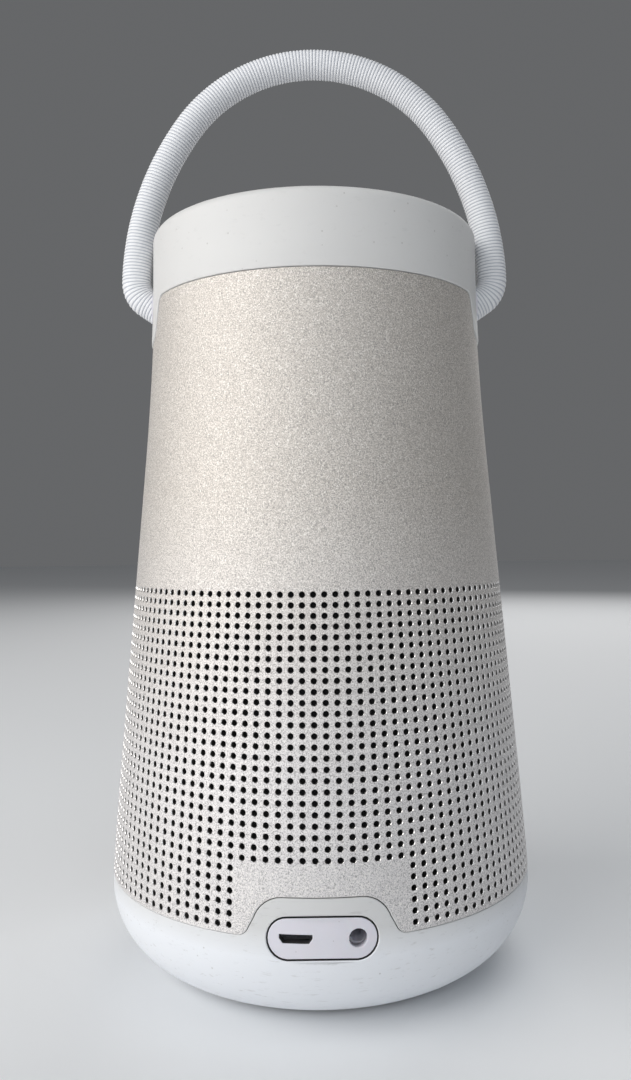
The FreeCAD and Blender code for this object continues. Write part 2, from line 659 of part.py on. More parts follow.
def ribbon_connectors():
    half = "-ribbon_wide / 2 - 0.6"
    size = ("ribbon_wide + 1.2", "plug_deep", "plug_high")
    group("ribbon_connectors", [
        block((half, "low_plug_y - plug_deep", "main_board_z + board_thick"), size),
        block((half, "top_plug_y - plug_deep", "control_board_z + board_thick"), size),
    ])


def ribbon_slot(body, low, high):
    slot = rectangle("-slot_half_x", "cabinet_r + 0.1", "slot_half_x", "slot_out_y")
    cut_slab(body, "top", [slot], low, high)


def deflector():
    """Disc with a concave cone that turns the sound outwards, and four columns for the cabinet."""
    disc_top = "deflector_z + deflector_thick"
    body = turned("deflector", [
        ("0", "deflector_z"),
        ("deflector_r", "deflector_z"),
        ("deflector_r", disc_top),
        ("deflector_foot_r", disc_top),
        ("deflector_tip_r", "deflector_tip_z", "deflector_curve", "right"),
        ("0", "deflector_tip_z"),
    ])
    add_slab(body, "top", circles("column_r", "column_at", COLUMN_ANGLES), "deflector_z", "cabinet_z")
    cut_slab(body, "top", circles("case_screw_r", "column_at", COLUMN_ANGLES),
             "cabinet_z + cabinet_floor - case_screw_long", "cabinet_z + 1")
    cut_slab(body, "top", circles("case_screw_r", "base_screw_at", BASE_SCREW_ANGLES),
             "deflector_z - 1", f"{disc_top} + 1")
    ribbon_slot(body, "deflector_z - 1", f"{disc_top} + 1")


# ---------------------------------------------------------------------------------------------
# Acoustic cabinet, driver, radiators and battery
# ---------------------------------------------------------------------------------------------
def cabinet():
    """Sealed box: a tube with a floor for the driver and a round seat on each side."""
    floor_top = "cabinet_z + cabinet_floor"
    body = turned("cabinet", [
        ("cabinet_mouth_r", "cabinet_z"),
        ("cabinet_flange_r", "cabinet_z"),
        ("cabinet_flange_r", floor_top),
        ("cabinet_r", floor_top),
        ("cabinet_r", "cabinet_top_z"),
        ("cabinet_r - cabinet_wall", "cabinet_top_z"),
        ("cabinet_r - cabinet_wall", floor_top),
        ("cabinet_mouth_r", floor_top),
    ])
    disc = circle("0", "radiator_z", "radiator_r")
    seat = add_slab(body, "side", [disc], "radiator_inset_x", "radiator_seat_x")
    mirror(body, seat)
    lid_bosses = circles("lid_boss_r", "lid_boss_at", COLUMN_ANGLES)
    add_slab(body, "top", lid_bosses, "lid_boss_z", "cabinet_top_z")
    hole = circle("0", "radiator_z", "radiator_hole_r")
    cut_slab(body, "side", [hole], "-cabinet_flange_r", "cabinet_flange_r")
    cut_slab(body, "top", circles("case_screw_r", "lid_boss_at", COLUMN_ANGLES),
             "housing_z + housing_floor - case_screw_long", "cabinet_top_z + 1")
    cut_slab(body, "top", circles("case_screw_r", "column_at", COLUMN_ANGLES),
             "cabinet_z - 1", f"{floor_top} + 1")
    cut_slab(body, "top", circles("small_screw_r", "driver_screw_at", COLUMN_ANGLES),
             "cabinet_z - 1", floor_top)
    ribbon_slot(body, "cabinet_z - 1", f"{floor_top} + 1")


def cabinet_lid():
    body = turned("cabinet_lid", rectangle("0", "cabinet_top_z", "cabinet_r", "cabinet_top_z + lid_thick"))
    cut_slab(body, "top", circles("case_screw_r", "lid_boss_at", COLUMN_ANGLES),
             "cabinet_top_z - 1", "cabinet_top_z + lid_thick + 1")


def driver_gasket():
    top_z = "cabinet_z"
    low_z = "basket_z + basket_rim"
    body = turned("driver_gasket", rectangle("gasket_r", low_z, "basket_r - 0.3", top_z))
    cut_slab(body, "top", circles("small_screw_r", "driver_screw_at", COLUMN_ANGLES),
             f"{low_z} - 1", f"{top_z} + 1")


def driver_frame():
    """Basket that opens downwards, with a screwed rim and four windows."""
    rim_top = "basket_z + basket_rim"
    body = turned("driver_frame", [
        ("basket_mouth_r", "basket_z"),
        ("basket_r", "basket_z"),
        ("basket_r", rim_top),
        ("cabinet_mouth_r - 0.2", rim_top),
        ("cabinet_mouth_r - 0.6", "cabinet_z + cabinet_floor"),
        ("basket_neck_r", "basket_neck_z"),
        ("basket_neck_r", "gap_low_z"),
        ("gap_r + 3", "gap_low_z"),
        ("gap_r + 3", "gap_low_z - basket_skin"),
        ("basket_neck_r - basket_skin", "gap_low_z - basket_skin"),
        ("basket_neck_r - basket_skin", "basket_neck_z - 0.4"),
        ("cabinet_mouth_r - 0.8 - basket_skin", "cabinet_z + cabinet_floor - 0.4"),
        ("basket_mouth_r - 0.7", "basket_z + 0.9"),
    ])
    for plane in ("front", "side"):
        window = rectangle("-7", "cabinet_z + cabinet_floor + 1.5", "7", "basket_neck_z - 1.5")
        cut_slab(body, plane, [window], "-basket_r", "basket_r")
    cut_slab(body, "top", circles("small_screw_r", "driver_screw_at", COLUMN_ANGLES),
             "basket_z - 1", f"{rim_top} + 1")


def driver_motor():
    """Front plate, ring magnet, and back plate with its pole."""
    turned("front_plate", rectangle("gap_r", "gap_low_z", "plate_r", "gap_top_z"))
    turned("driver_magnet", rectangle("magnet_hole_r", "gap_top_z", "magnet_r", "magnet_top_z"))
    turned("back_plate", [
        ("0", "pole_low_z"),
        ("pole_r", "pole_low_z"),
        ("pole_r", "magnet_top_z"),
        ("plate_r", "magnet_top_z"),
        ("plate_r", "back_plate_top_z"),
        ("0", "back_plate_top_z"),
    ])


def driver_cone():
    """Cone with its dust cap, open downwards."""
    turned("driver_cone", [
        ("0", "coil_low_z - cone_skin * 3"),
        ("coil_out_r", "coil_low_z - cone_skin", "cap_curve", "left"),
        ("cone_r", "cone_mouth_z"),
        ("cone_r", "cone_mouth_z + cone_skin * 2"),
        ("coil_out_r", "coil_low_z"),
        ("0", "coil_low_z"),
    ])


def voice_coil():
    turned("voice_coil", rectangle("coil_in_r", "coil_low_z", "coil_out_r", "coil_top_z"))


def driver_surround():
    """Half-roll that bulges downwards between the cone's edge and the basket's rim."""
    rim_z = "cone_mouth_z - 0.2"
    turned("driver_surround", [
        ("cone_r + 0.05", rim_z),
        ("roll_out_r", rim_z, "roll_curve", "left"),
        ("roll_out_r", f"{rim_z} + roll_skin"),
        ("cone_r + 0.05", f"{rim_z} + roll_skin", "roll_curve", "right"),
    ])


def driver_spider():
    """Flat centring disc round the voice coil."""
    turned("driver_spider", rectangle("coil_out_r + 0.05", "spider_z", "basket_neck_r - basket_skin - 0.1",
                                      "spider_z + roll_skin"))


def radiator(side, turn):
    """Passive radiator: rim, half-roll and weight, turned about X and set on the cabinet's seat."""
    seat = "radiator_seat_x"
    rim = new_body(f"{side}_radiator_rim")
    turn_about(rim, "H_Axis", [rectangle(seat, "radiator_hole_r", f"{seat} + radiator_rim", "radiator_r")])
    weight = new_body(f"{side}_radiator_weight")
    turn_about(weight, "H_Axis", [rectangle("weight_x", "0", "weight_x + weight_thick", "weight_r")])
    roll = new_body(f"{side}_radiator_surround")
    turn_about(roll, "H_Axis", [[
        ("weight_x + 0.4", "weight_r + 0.05"),
        ("weight_x + 0.4", "radiator_hole_r - 0.05", "radiator_roll", "right"),
        ("weight_x + 0.4 + roll_skin", "radiator_hole_r - 0.05"),
        ("weight_x + 0.4 + roll_skin", "weight_r + 0.05", "radiator_roll", "left"),
    ]])
    for piece in (rim, weight, roll):
        bind(piece, "Placement.Base.z", "radiator_z")
        piece.Placement.Rotation = FreeCAD.Rotation(FreeCAD.Vector(0, 0, 1), turn)


def battery_cells():
    group("battery_cells", [
        cylinder("0", "-cell_y", "cell_z", "cell_r", "cell_long"),
        cylinder("0", "cell_y", "cell_z", "cell_r", "cell_long"),
    ])


def battery_holder():
    """Open box that hangs from the lid round the two cells."""
    body = new_body("battery_holder")
    inner_x = "cell_r + holder_gap"
    inner_y = "cell_y + cell_r + holder_gap"
    outer_x = f"{inner_x} + holder_wall"
    outer_y = f"{inner_y} + holder_wall"
    outer = rectangle(f"-({outer_x})", f"-({outer_y})", outer_x, outer_y)
    inner = rectangle(f"-({inner_x})", f"-({inner_y})", inner_x, inner_y)
    add_slab(body, "top", [outer], "holder_z", "cabinet_top_z")
    cut_slab(body, "top", [inner], "holder_z + holder_wall", "cabinet_top_z + 1")


# ---------------------------------------------------------------------------------------------
# Top: housing, boards, pad and buttons
# ---------------------------------------------------------------------------------------------
def top_housing():
    """Cup under the band, with a ledge for the deck and a bearing for each handle shaft."""
    floor_top = "housing_z + housing_floor"
    body = turned("top_housing", [
        ("0", "housing_z"),
        ("housing_r", "housing_z"),
        ("housing_r", "housing_top_z"),
        ("housing_r - housing_wall", "housing_top_z"),
        ("housing_r - housing_wall", "ledge_top_z"),
        ("ledge_r", "ledge_top_z"),
        ("ledge_r", "ledge_low_z"),
        ("housing_r - housing_wall", "ledge_low_z - 1.4"),
        ("housing_r - housing_wall", floor_top),
        ("0", floor_top),
    ])
    disc = circle("0", "pivot_z", "bearing_r")
    bearing = add_slab(body, "side", [disc], "bearing_end_x", "bearing_face_x")
    mirror(body, bearing)
    posts = circles("control_post_r", "control_post_at", CONTROL_POST_ANGLES)
    add_slab(body, "top", posts, "housing_z", "control_board_z")
    cut_slab(body, "side", [circle("0", "pivot_z", "bearing_bore_r")], "-housing_r - 1", "housing_r + 1")
    cut_slab(body, "side", [circle("0", "pivot_z", "coin_hole_r")], "bearing_face_x", "housing_r + 1")
    cut_slab(body, "side", [circle("0", "pivot_z", "coin_hole_r")], "-housing_r - 1", "-bearing_face_x")
    cut_slab(body, "top", circles("case_screw_r", "lid_boss_at", COLUMN_ANGLES),
             "housing_z - 1", f"{floor_top} + 1")
    cut_slab(body, "top", circles("small_screw_r", "control_post_at", CONTROL_POST_ANGLES),
             "control_board_z + board_thick - small_screw_long", "control_board_z + 1")
    cut_slab(body, "top", [rectangle("-slot_half_x", "cabinet_r + 0.1", "slot_half_x", "slot_out_y")],
             "housing_z - 1", f"{floor_top} + 1")
    cut_slab(body, "top", [rectangle("-slot_half_x", "cabinet_r - 1", "slot_half_x", "slot_out_y")],
             "ledge_low_z - 2", "ledge_top_z")


def control_board():
    top_z = "control_board_z + board_thick"
    body = turned("control_board", rectangle("0", "control_board_z", "control_board_r", top_z))
    cut_slab(body, "top", circles("small_screw_r", "control_post_at", CONTROL_POST_ANGLES),
             "control_board_z", top_z)


def tact_switches():
    """One switch under each button: a square body with a round plunger."""
    switches = []
    for angle in BUTTONS.values():
        x, y = polar("button_at", angle)
        base_z = "control_board_z + board_thick"
        case = block((f"{x} - switch_half", f"{y} - switch_half", base_z),
                     ("switch_half * 2", "switch_half * 2", "switch_high"))
        switches.append(joined(case, cylinder(x, y, base_z, "plunger_r", "switch_high + plunger_high")))
    group("tact_switches", switches)


def status_lights():
    base_z = "control_board_z + board_thick"
    group("status_lights", [
        block((f"{x} - 0.8", "-light_at - 0.5", base_z), ("1.6", "1", "0.7")) for x in ("-2.4", "2.4")
    ])


def light_guides():
    group("light_guides", [
        cylinder(x, "-light_at", "light_z", "light_r", "pad_top_z - light_z") for x in ("-2.4", "2.4")
    ])


def microphone():
    x, y = polar("light_at", 60)
    base_z = "control_board_z + board_thick"
    keep(block((f"{x} - 1.5", f"{y} - 1.5", base_z), ("3", "3", "1")), "microphone")


def antenna_ring():
    """Thin coil that lies on the deck under the pad."""
    top_z = "deck_top_z + antenna_thick"
    turned("antenna_ring", rectangle("antenna_in_r", "deck_top_z", "antenna_out_r", top_z))


def top_holes(body, button_radius, low, high):
    """Openings for the buttons, the light guides and the microphone."""
    cut_slab(body, "top", circles(button_radius, "button_at", BUTTONS.values()), low, high)
    lights = [circle(x, "-light_at", "light_r + light_gap") for x in ("-2.4", "2.4")]
    cut_slab(body, "top", [*lights, circle(*polar("light_at", 60), "microphone_r")], low, high)


def button_deck():
    body = turned("button_deck", rectangle("0", "deck_z", "deck_r", "deck_top_z"))
    top_holes(body, "stem_hole_r", "deck_z - 1", "deck_top_z + 1")


def control_pad():
    """Silicone disc inside the band's lip, slightly dished, with a rounded rim."""
    body = turned("control_pad", [
        ("0", "pad_z"),
        ("pad_r", "pad_z"),
        ("pad_r", "pad_top_z + 0.3"),
        ("pad_r - 1", "pad_top_z + 0.8", "1.5", "left"),
        ("pad_r - 4", "pad_top_z", "12", "left"),
        ("0", "pad_top_z"),
    ])
    top_holes(body, "button_hole_r", "pad_z - 1", "pad_top_z + 1")


ICON_LOW_Z = "button_top_z - 0.1"
ICON_DEEP = "icon_high + 0.1"


def icon_bar(x, y, long, wide):
    corner = (f"({x}) - ({long}) / 2", f"({y}) - ({wide}) / 2", ICON_LOW_Z)
    return block(corner, (long, wide, ICON_DEEP))


def icon_ring(radius):
    """A raised ring."""
    ring = doc.addObject("Part::Cut", "Ring")
    ring.Base = cylinder("0", "0", ICON_LOW_Z, f"{radius} + icon_stroke / 2", ICON_DEEP)
    ring.Tool = cylinder("0", "0", ICON_LOW_Z, f"{radius} - icon_stroke / 2", ICON_DEEP)
    return ring


def icon_dot(x, y, radius):
    return cylinder(x, y, ICON_LOW_Z, radius, ICON_DEEP)


def icon(label):
    """The raised marks of one button, built over the origin."""
    if label == "play_button":
        return [icon_dot(x, "0", "0.55") for x in ("-1.7", "0", "1.7")]
    if label == "volume_up_button":
        return [icon_bar("0", "0", "3.6", "icon_stroke"), icon_bar("0", "0", "icon_stroke", "3.6")]
    if label == "volume_down_button":
        return [icon_bar("0", "0", "3.6", "icon_stroke")]
    if label == "source_button":
        return [icon_ring("1.7"), icon_dot("0", "0", "0.5")]
    if label == "wireless_button":
        return [icon_dot("0", "0", "0.5"), icon_ring("1.4"), icon_ring("2.6")]
    return [icon_ring("1.7"), icon_bar("0", "1.7", "icon_stroke", "2.4")]


def button(label, angle):
    """A round key with a stem that points at its switch, moved to its place on the top."""
    cap = cylinder("0", "0", "button_z", "button_r", "button_top_z - button_z")
    edge = doc.addObject("Part::Chamfer", "Edge")
    edge.Base = cap
    doc.recompute()
    rims = [i + 1 for i, e in enumerate(cap.Shape.Edges)
            if e.BoundBox.ZLength < 1e-6 and abs(e.BoundBox.ZMax - number("button_top_z")) < 1e-6]
    edge.Edges = [(rim, 0.3, 0.3) for rim in rims]
    stem = cylinder("0", "0", "stem_z", "button_skirt_r", "button_top_z - stem_z - 0.5")
    piece = keep(joined(edge, stem, *icon(label)), label)
    x, y = polar("button_at", angle)
    bind(piece, "Placement.Base.x", x)
    bind(piece, "Placement.Base.y", y)


# ---------------------------------------------------------------------------------------------
# Handle
# ---------------------------------------------------------------------------------------------
def handle_route():
    """Right half of the handle's centre line: crown, side, hip and bend arcs, and a tail into the pivot."""
    crown_x = "crown_radius * sin(crown_angle)"
    crown_z = "apex_z - crown_radius * (1 - cos(crown_angle))"
    lean = "(crown_angle + side_angle)"
    side_x = f"{crown_x} + side_radius * (sin{lean} - sin(crown_angle))"
    side_z = f"{crown_z} - side_radius * (cos(crown_angle) - cos{lean})"
    widest_x = f"{side_x} + hip_radius * (1 - sin{lean})"
    widest_z = f"{side_z} - hip_radius * cos{lean}"
    elbow_x = f"{widest_x} - bend_radius * (1 - cos(bend_angle))"
    elbow_z = f"{widest_z} - bend_radius * sin(bend_angle)"
    return [
        ("0", "apex_z"),
        (crown_x, crown_z, "crown_radius", "right"),
        (side_x, side_z, "side_radius", "right"),
        (widest_x, widest_z, "hip_radius", "right"),
        (elbow_x, elbow_z, "bend_radius", "right"),
        (f"{elbow_x} - tail * sin(bend_angle)", f"{elbow_z} - tail * cos(bend_angle)"),
    ]


def handle_tube(label, section):
    """A round section swept along the whole handle, cut off flat at the two end discs."""
    body = new_body(label)
    pipe = body.newObject("PartDesign::AdditivePipe", "Pipe")
    pipe.Profile = sketch_on(body, "side", section)
    pipe.Spine = sketch_on(body, "front", [handle_route()], closed=False)
    mirror(body, pipe)
    between = rectangle("-grip_r * 2", "pivot_z - grip_r * 3", "grip_r * 2", "pivot_z + grip_r * 2")
    cut_slab(body, "side", [between], "-coin_out_x", "coin_out_x")


def handle_end(side, turn):
    """End disc with its shaft, grooved for the clip, turned about the pivot axis."""
    body = new_body(f"{side}_handle_end")
    turn_about(body, "H_Axis", [[
        ("shaft_end_x", "0"),
        ("shaft_end_x", "shaft_r"),
        ("clip_x", "shaft_r"),
        ("clip_x", "groove_r"),
        ("clip_x + clip_thick", "groove_r"),
        ("clip_x + clip_thick", "shaft_r"),
        ("coin_in_x", "shaft_r"),
        ("coin_in_x", "coin_r"),
        ("coin_out_x", "coin_r"),
        ("coin_out_x", "0"),
    ]])
    bind(body, "Placement.Base.z", "pivot_z")
    body.Placement.Rotation = FreeCAD.Rotation(FreeCAD.Vector(0, 0, 1), turn)


def pivot_ring(inner, outer, low_x, thick):
    """A flat ring on the left and on the right shaft."""
    rings = []
    for place in (low_x, f"-({low_x}) - ({thick})"):
        ring = doc.addObject("Part::Cut", "Ring")
        ring.Base = cylinder("0", "0", "0", outer, thick)
        ring.Tool = cylinder("0", "0", "0", inner, thick)
        ring.Placement.Rotation = FreeCAD.Rotation(FreeCAD.Vector(0, 1, 0), 90)
        bind(ring, "Placement.Base.x", place)
        bind(ring, "Placement.Base.z", "pivot_z")
        rings.append(ring)
    return rings


# ---------------------------------------------------------------------------------------------
# Screws
# ---------------------------------------------------------------------------------------------
def screw(kind, x, y, seat, down=True):
    """A pan-head screw whose head sits at a height, with its shank below it or above it."""
    shank = f"seat - {kind}_screw_long"
    low_shank = shank.replace("seat", f"({seat})") if down else seat
    low_head = seat if down else f"({seat}) - {kind}_head_high"
    return joined(
        cylinder(x, y, low_shank, f"{kind}_screw_r", f"{kind}_screw_long"),
        cylinder(x, y, low_head, f"{kind}_head_r", f"{kind}_head_high"),
    )


def case_screws():
    """Screws through the lid, the cabinet flange and the deflector."""
    rows = (
        ("housing_z + housing_floor", "lid_boss_at", COLUMN_ANGLES),
        ("cabinet_z + cabinet_floor", "column_at", COLUMN_ANGLES),
        ("deflector_z + deflector_thick", "base_screw_at", BASE_SCREW_ANGLES),
    )
    group("case_screws", [screw("case", *polar(at, a), seat) for seat, at, angles in rows for a in angles])


def small_screws():
    """Screws of the two boards, and of the driver from below."""
    boards = (
        ("control_board_z + board_thick", "control_post_at", CONTROL_POST_ANGLES),
        ("main_board_z + board_thick", "main_post_at", MAIN_POST_ANGLES),
    )
    screws = [screw("small", *polar(at, a), seat) for seat, at, angles in boards for a in angles]
    screws += [screw("small", *polar("driver_screw_at", a), "basket_z", down=False) for a in COLUMN_ANGLES]
    group("small_screws", screws)


def build():
    fill_sheet()
    aluminium_sleeve()
    grille_cloth()
    top_band()
    base_boot()
    port_plate()
    usb_socket()
    aux_socket()
    foot_ring()
    base_plate()
    tripod_insert()
    charging_contacts()
    main_board()
    board_components()
    ribbon_cable()
    ribbon_connectors()
    deflector()
    cabinet()
    cabinet_lid()
    driver_gasket()
    driver_frame()
    driver_motor()
    driver_cone()
    voice_coil()
    driver_surround()
    driver_spider()
    radiator("right", 0)
    radiator("left", 180)
    battery_cells()
    battery_holder()
    top_housing()
    control_board()
    tact_switches()
    status_lights()
    light_guides()
    microphone()
    antenna_ring()
    button_deck()
    control_pad()
    for label, angle in BUTTONS.items():
        button(label, angle)
    handle_tube("handle_grip", [circle("0", "apex_z", "grip_r"), circle("0", "apex_z", "core_r")])
    handle_tube("handle_core", [circle("0", "apex_z", "core_r")])
    handle_end("right", 0)
    handle_end("left", 180)
    group("pivot_clips", pivot_ring("groove_r", "clip_r", "clip_x", "clip_thick"))
    washer_x = "bearing_end_x - washer_thick - 0.02"
    group("pivot_washers", pivot_ring("shaft_r + 0.1", "washer_r", washer_x, "washer_thick"))
    case_screws()
    small_screws()


def write_parts():
    """Check every object of the document, then write each sub-part to its own file."""
    doc.recompute()
    for thing in doc.Objects:
        if "Invalid" in thing.State or "Error" in thing.State:
            raise RuntimeError(f"{thing.Name} ({thing.Label}) did not compute: {thing.State}")
    os.makedirs("parts", exist_ok=True)
    for thing in subparts:
        shape = thing.Shape
        if shape.isNull() or not shape.isValid():
            raise RuntimeError(f"{thing.Label} has no valid shape")
        shape.exportStep(os.path.join("parts", f"{thing.Label}.step"))
        print(f"{thing.Label:24s} {len(shape.Solids):3d} solids {shape.Volume:10.1f} mm3")


build()
write_parts()
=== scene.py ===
import json
import math

import bmesh
import bpy
from mathutils import Matrix, Vector
from mathutils.geometry import delaunay_2d_cdt


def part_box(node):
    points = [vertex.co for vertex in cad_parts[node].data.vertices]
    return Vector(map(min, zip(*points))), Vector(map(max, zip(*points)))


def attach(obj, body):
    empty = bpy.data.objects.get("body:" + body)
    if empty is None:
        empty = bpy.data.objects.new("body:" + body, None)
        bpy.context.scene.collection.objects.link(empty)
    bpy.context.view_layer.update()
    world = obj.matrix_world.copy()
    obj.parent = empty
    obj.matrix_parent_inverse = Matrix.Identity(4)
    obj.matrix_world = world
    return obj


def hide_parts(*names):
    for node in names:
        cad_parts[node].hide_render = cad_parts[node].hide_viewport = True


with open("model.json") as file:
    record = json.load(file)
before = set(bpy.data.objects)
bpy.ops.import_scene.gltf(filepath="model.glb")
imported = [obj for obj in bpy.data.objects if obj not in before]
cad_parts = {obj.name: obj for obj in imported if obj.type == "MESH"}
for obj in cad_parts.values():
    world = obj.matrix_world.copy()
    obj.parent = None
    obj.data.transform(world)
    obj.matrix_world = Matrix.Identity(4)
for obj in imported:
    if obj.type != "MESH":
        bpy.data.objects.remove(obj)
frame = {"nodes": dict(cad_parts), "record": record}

for leftover in ("Cube", "Light", "Camera"):
    if leftover in bpy.data.objects:
        bpy.data.objects.remove(bpy.data.objects[leftover])

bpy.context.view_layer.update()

# The speaker stands on the floor at the origin, +Z up, its ports face -Y and its handle turns about X.
# Shapes are worked out in millimetres, and MM turns them into Blender's metres.
MM = 0.001

# Sleeve: outer profile as (radius, height) points, curved below SKIRT and above SHOULDER
SEAM = (52.8, 22.07)
SKIRT = (50.8, 50.0)
SHOULDER = (44.8, 125.0)
NECK = (42.7, 165.1)
SKIRT_CURVE = 1350.0
SHOULDER_CURVE = 800.0
SLEEVE_WALL = 1.3
SEAM_GAP = 0.06

# Grille: columns round the sleeve, and rows from the top one down
COLUMNS = 124
ROWS = 31
ROW_PITCH = 2.2715
TOP_ROW_Z = 92.0
HOLE_R = 0.63
HOLE_CHAMFER = 0.10
HOLE_SIDES = 12
BLANK_COLUMNS = 14
BLANK_ROWS = 6
COLUMN_STEP = 2 * math.pi / COLUMNS
FRONT = -math.pi / 2
GRILLE_TOP_Z = TOP_ROW_Z + ROW_PITCH / 2
GRILLE_LOW_Z = TOP_ROW_Z - (ROWS - 0.5) * ROW_PITCH
BLANK_TOP_Z = TOP_ROW_Z - (ROWS - BLANK_ROWS - 0.5) * ROW_PITCH

# Arch of the boot round the ports, right half: (x, z) points, and the two rounded stretches
ARCH_TOP = (8.5, 30.1)
ARCH_SIDE = (14.2, 25.9)
ARCH_FOOT = (15.3, 23.9)
ARCH_END = (17.9, 22.07)
ARCH_CORNER = 6.5
ARCH_FLARE = 2.6
ARCH_GAP = 0.17

# Tabs of the band at the handle's pivots, right half: (y, z) points
TAB_LOW = (11.3, 154.5)
TAB_SIDE = (15.3, 158.4)
TAB_FOOT = (16.7, 162.3)
TAB_END = (19.4, 165.1)
TAB_CORNER = 4.2
TAB_FLARE = 3.0

# Band, pad and buttons
BAND_R = 43.0
BAND_TOP_Z = 184.0
BAND_EDGE = 2.5
LIP_R = 37.5
LIP_Z = 181.05
TAB_LOW_R = 43.4
PAD_R = 37.35
PAD_TOP_Z = 182.5
PAD_LOW_Z = 180.1
BUTTON_HOLE_R = 5.15

# Boot
BEND_Z = 20.0
HEEL = (47.1, 6.5)
SOLE = (37.6, 1.2)
SOLE_HOLE_R = 31.0
HEEL_CURVE = 18.8
SOLE_CURVE = 20.8
FOOT_IN_R = 32.6
FOOT_OUT_R = 36.4

# Ports
PORT_Z = 22.05
PORT_REACH = 50.0
PLATE_HALF = 11.35
PLATE_ROUND = 4.08
PLATE_GAP = 0.34
PLATE_FACE_R = 52.45
USB_X = -5.5
USB_WIDE = 6.9
USB_HIGH = 1.8
JACK_X = 7.4
JACK_R = 1.9

# Handle
PIVOT_Z = 165.0
COIN_X = 43.2
COIN_HOLE_R = 5.55
GRIP_R = 3.9
GRIP_BORE_R = 2.62
CROWN_RADIUS = 41.6
CROWN_ANGLE = math.radians(54.4)
SIDE_RADIUS = 76.6
SIDE_ANGLE = math.radians(32)
HIP_RADIUS = 52.0
BEND_RADIUS = 6.9
BEND_ANGLE = math.radians(56)
TAIL = 5.0
RIB_PITCH = 0.87
RIB_DEEP = 0.24


# ---- Profiles and outlines ----
def polar(radius, angle, x=0.0, y=0.0):
    """The point at that distance and angle from (x, y)."""
    return x + radius * math.cos(angle), y + radius * math.sin(angle)


def around(radius, angle, z):
    return Vector((*polar(radius, angle), z))


def level(z):
    """A function that puts a flat point at height z."""
    return lambda place: Vector((*place, z))
def arc_centre(start, end, radius, turn):
    """Centre of the short arc from start to end that turns left (1) or right (-1)."""
    dx, dy = end[0] - start[0], end[1] - start[1]
    chord = math.hypot(dx, dy)
    reach = math.sqrt(max(radius ** 2 - chord ** 2 / 4, 0))
    return (
        (start[0] + end[0]) / 2 - dy / chord * reach * turn,
        (start[1] + end[1]) / 2 + dx / chord * reach * turn,
    )
def arc_points(start, end, radius, turn, steps):
    """Points along that arc, without its start."""
    x, y = arc_centre(start, end, radius, turn)
    first = math.atan2(start[1] - y, start[0] - x)
    last = math.atan2(end[1] - y, end[0] - x)
    sweep = (last - first) * turn % (2 * math.pi) * turn
    return [polar(radius, first + sweep * i / steps, x, y) for i in range(1, steps + 1)]


def rounded(corner, start_angle, end_angle, radius, steps):
    """Points of a rounded corner about its centre, from one angle to the other, in degrees."""
    turns = [start_angle + (end_angle - start_angle) * i / steps for i in range(steps + 1)]
    return [polar(radius, math.radians(turn), *corner) for turn in turns]


def full_turn(sides):
    """Angles of a closed ring, the first one repeated at its end."""
    return [2 * math.pi * i / sides for i in range(sides + 1)]

SKIRT_CENTRE = arc_centre(SEAM, SKIRT, SKIRT_CURVE, 1)
SHOULDER_CENTRE = arc_centre(SHOULDER, NECK, SHOULDER_CURVE, -1)


def sleeve_radius(z):
    """Outer radius of the sleeve at a height."""
    if z < SKIRT[1]:
        return SKIRT_CENTRE[0] + math.sqrt(SKIRT_CURVE ** 2 - (z - SKIRT_CENTRE[1]) ** 2)
    if z > SHOULDER[1]:
        return SHOULDER_CENTRE[0] - math.sqrt(SHOULDER_CURVE ** 2 - (z - SHOULDER_CENTRE[1]) ** 2)
    along = (z - SKIRT[1]) / (SHOULDER[1] - SKIRT[1])
    return SKIRT[0] + (SHOULDER[0] - SKIRT[0]) * along
def notch_outline(corners, flare, corner_radius, up, gap, steps):
    """A notch from its right end round to its left end, widened by gap: up is 1 for an arch, -1 for a tab.

    Corners are the end, foot, side and far point of its right half."""
    end, foot, side = ((across + gap, z) for across, z in corners[:3])
    far = (corners[3][0], corners[3][1] + up * gap)
    right = [end, *arc_points(end, foot, flare, -up, steps // 2)]
    right += [side, *arc_points(side, far, corner_radius, up, steps)]
    run = [(far[0] * (1 - 2 * i / steps), far[1]) for i in range(1, steps)]
    return right + run + [(-across, z) for across, z in reversed(right)]


def arch_outline(gap=0.0):
    """The arch of the boot, as (x, z)."""
    return notch_outline((ARCH_END, ARCH_FOOT, ARCH_SIDE, ARCH_TOP), ARCH_FLARE, ARCH_CORNER, 1, gap, 10)


def tab_outline(gap=0.0):
    """A tab of the band, as (y, z)."""
    return notch_outline((TAB_END, TAB_FOOT, TAB_SIDE, TAB_LOW), TAB_FLARE, TAB_CORNER, -1, gap, 8)


def circle_outline(x, y, radius, steps=48):
    return [polar(radius, 2 * math.pi * i / steps, x, y) for i in range(steps)]


def stadium_outline(y, half_length, radius, steps=14):
    """A slot shape with its middle at (0, y), anticlockwise."""
    right = [polar(radius, math.pi * (i / steps - 0.5), half_length - radius, y) for i in range(steps + 1)]
    return right + [(-px, 2 * y - py) for px, py in right]

def offset_outline(points, distance, closed):
    """The outline moved to its left by distance; the ends of an open one move square to it."""
    moved = []
    count = len(points)
    for i, (x, y) in enumerate(points):
        before = points[i - 1] if closed or i > 0 else points[i]
        after = points[(i + 1) % count] if closed or i < count - 1 else points[i]
        dx, dy = after[0] - before[0], after[1] - before[1]
        length = math.hypot(dx, dy)
        moved.append((x - dy / length * distance, y + dx / length * distance))
    return moved


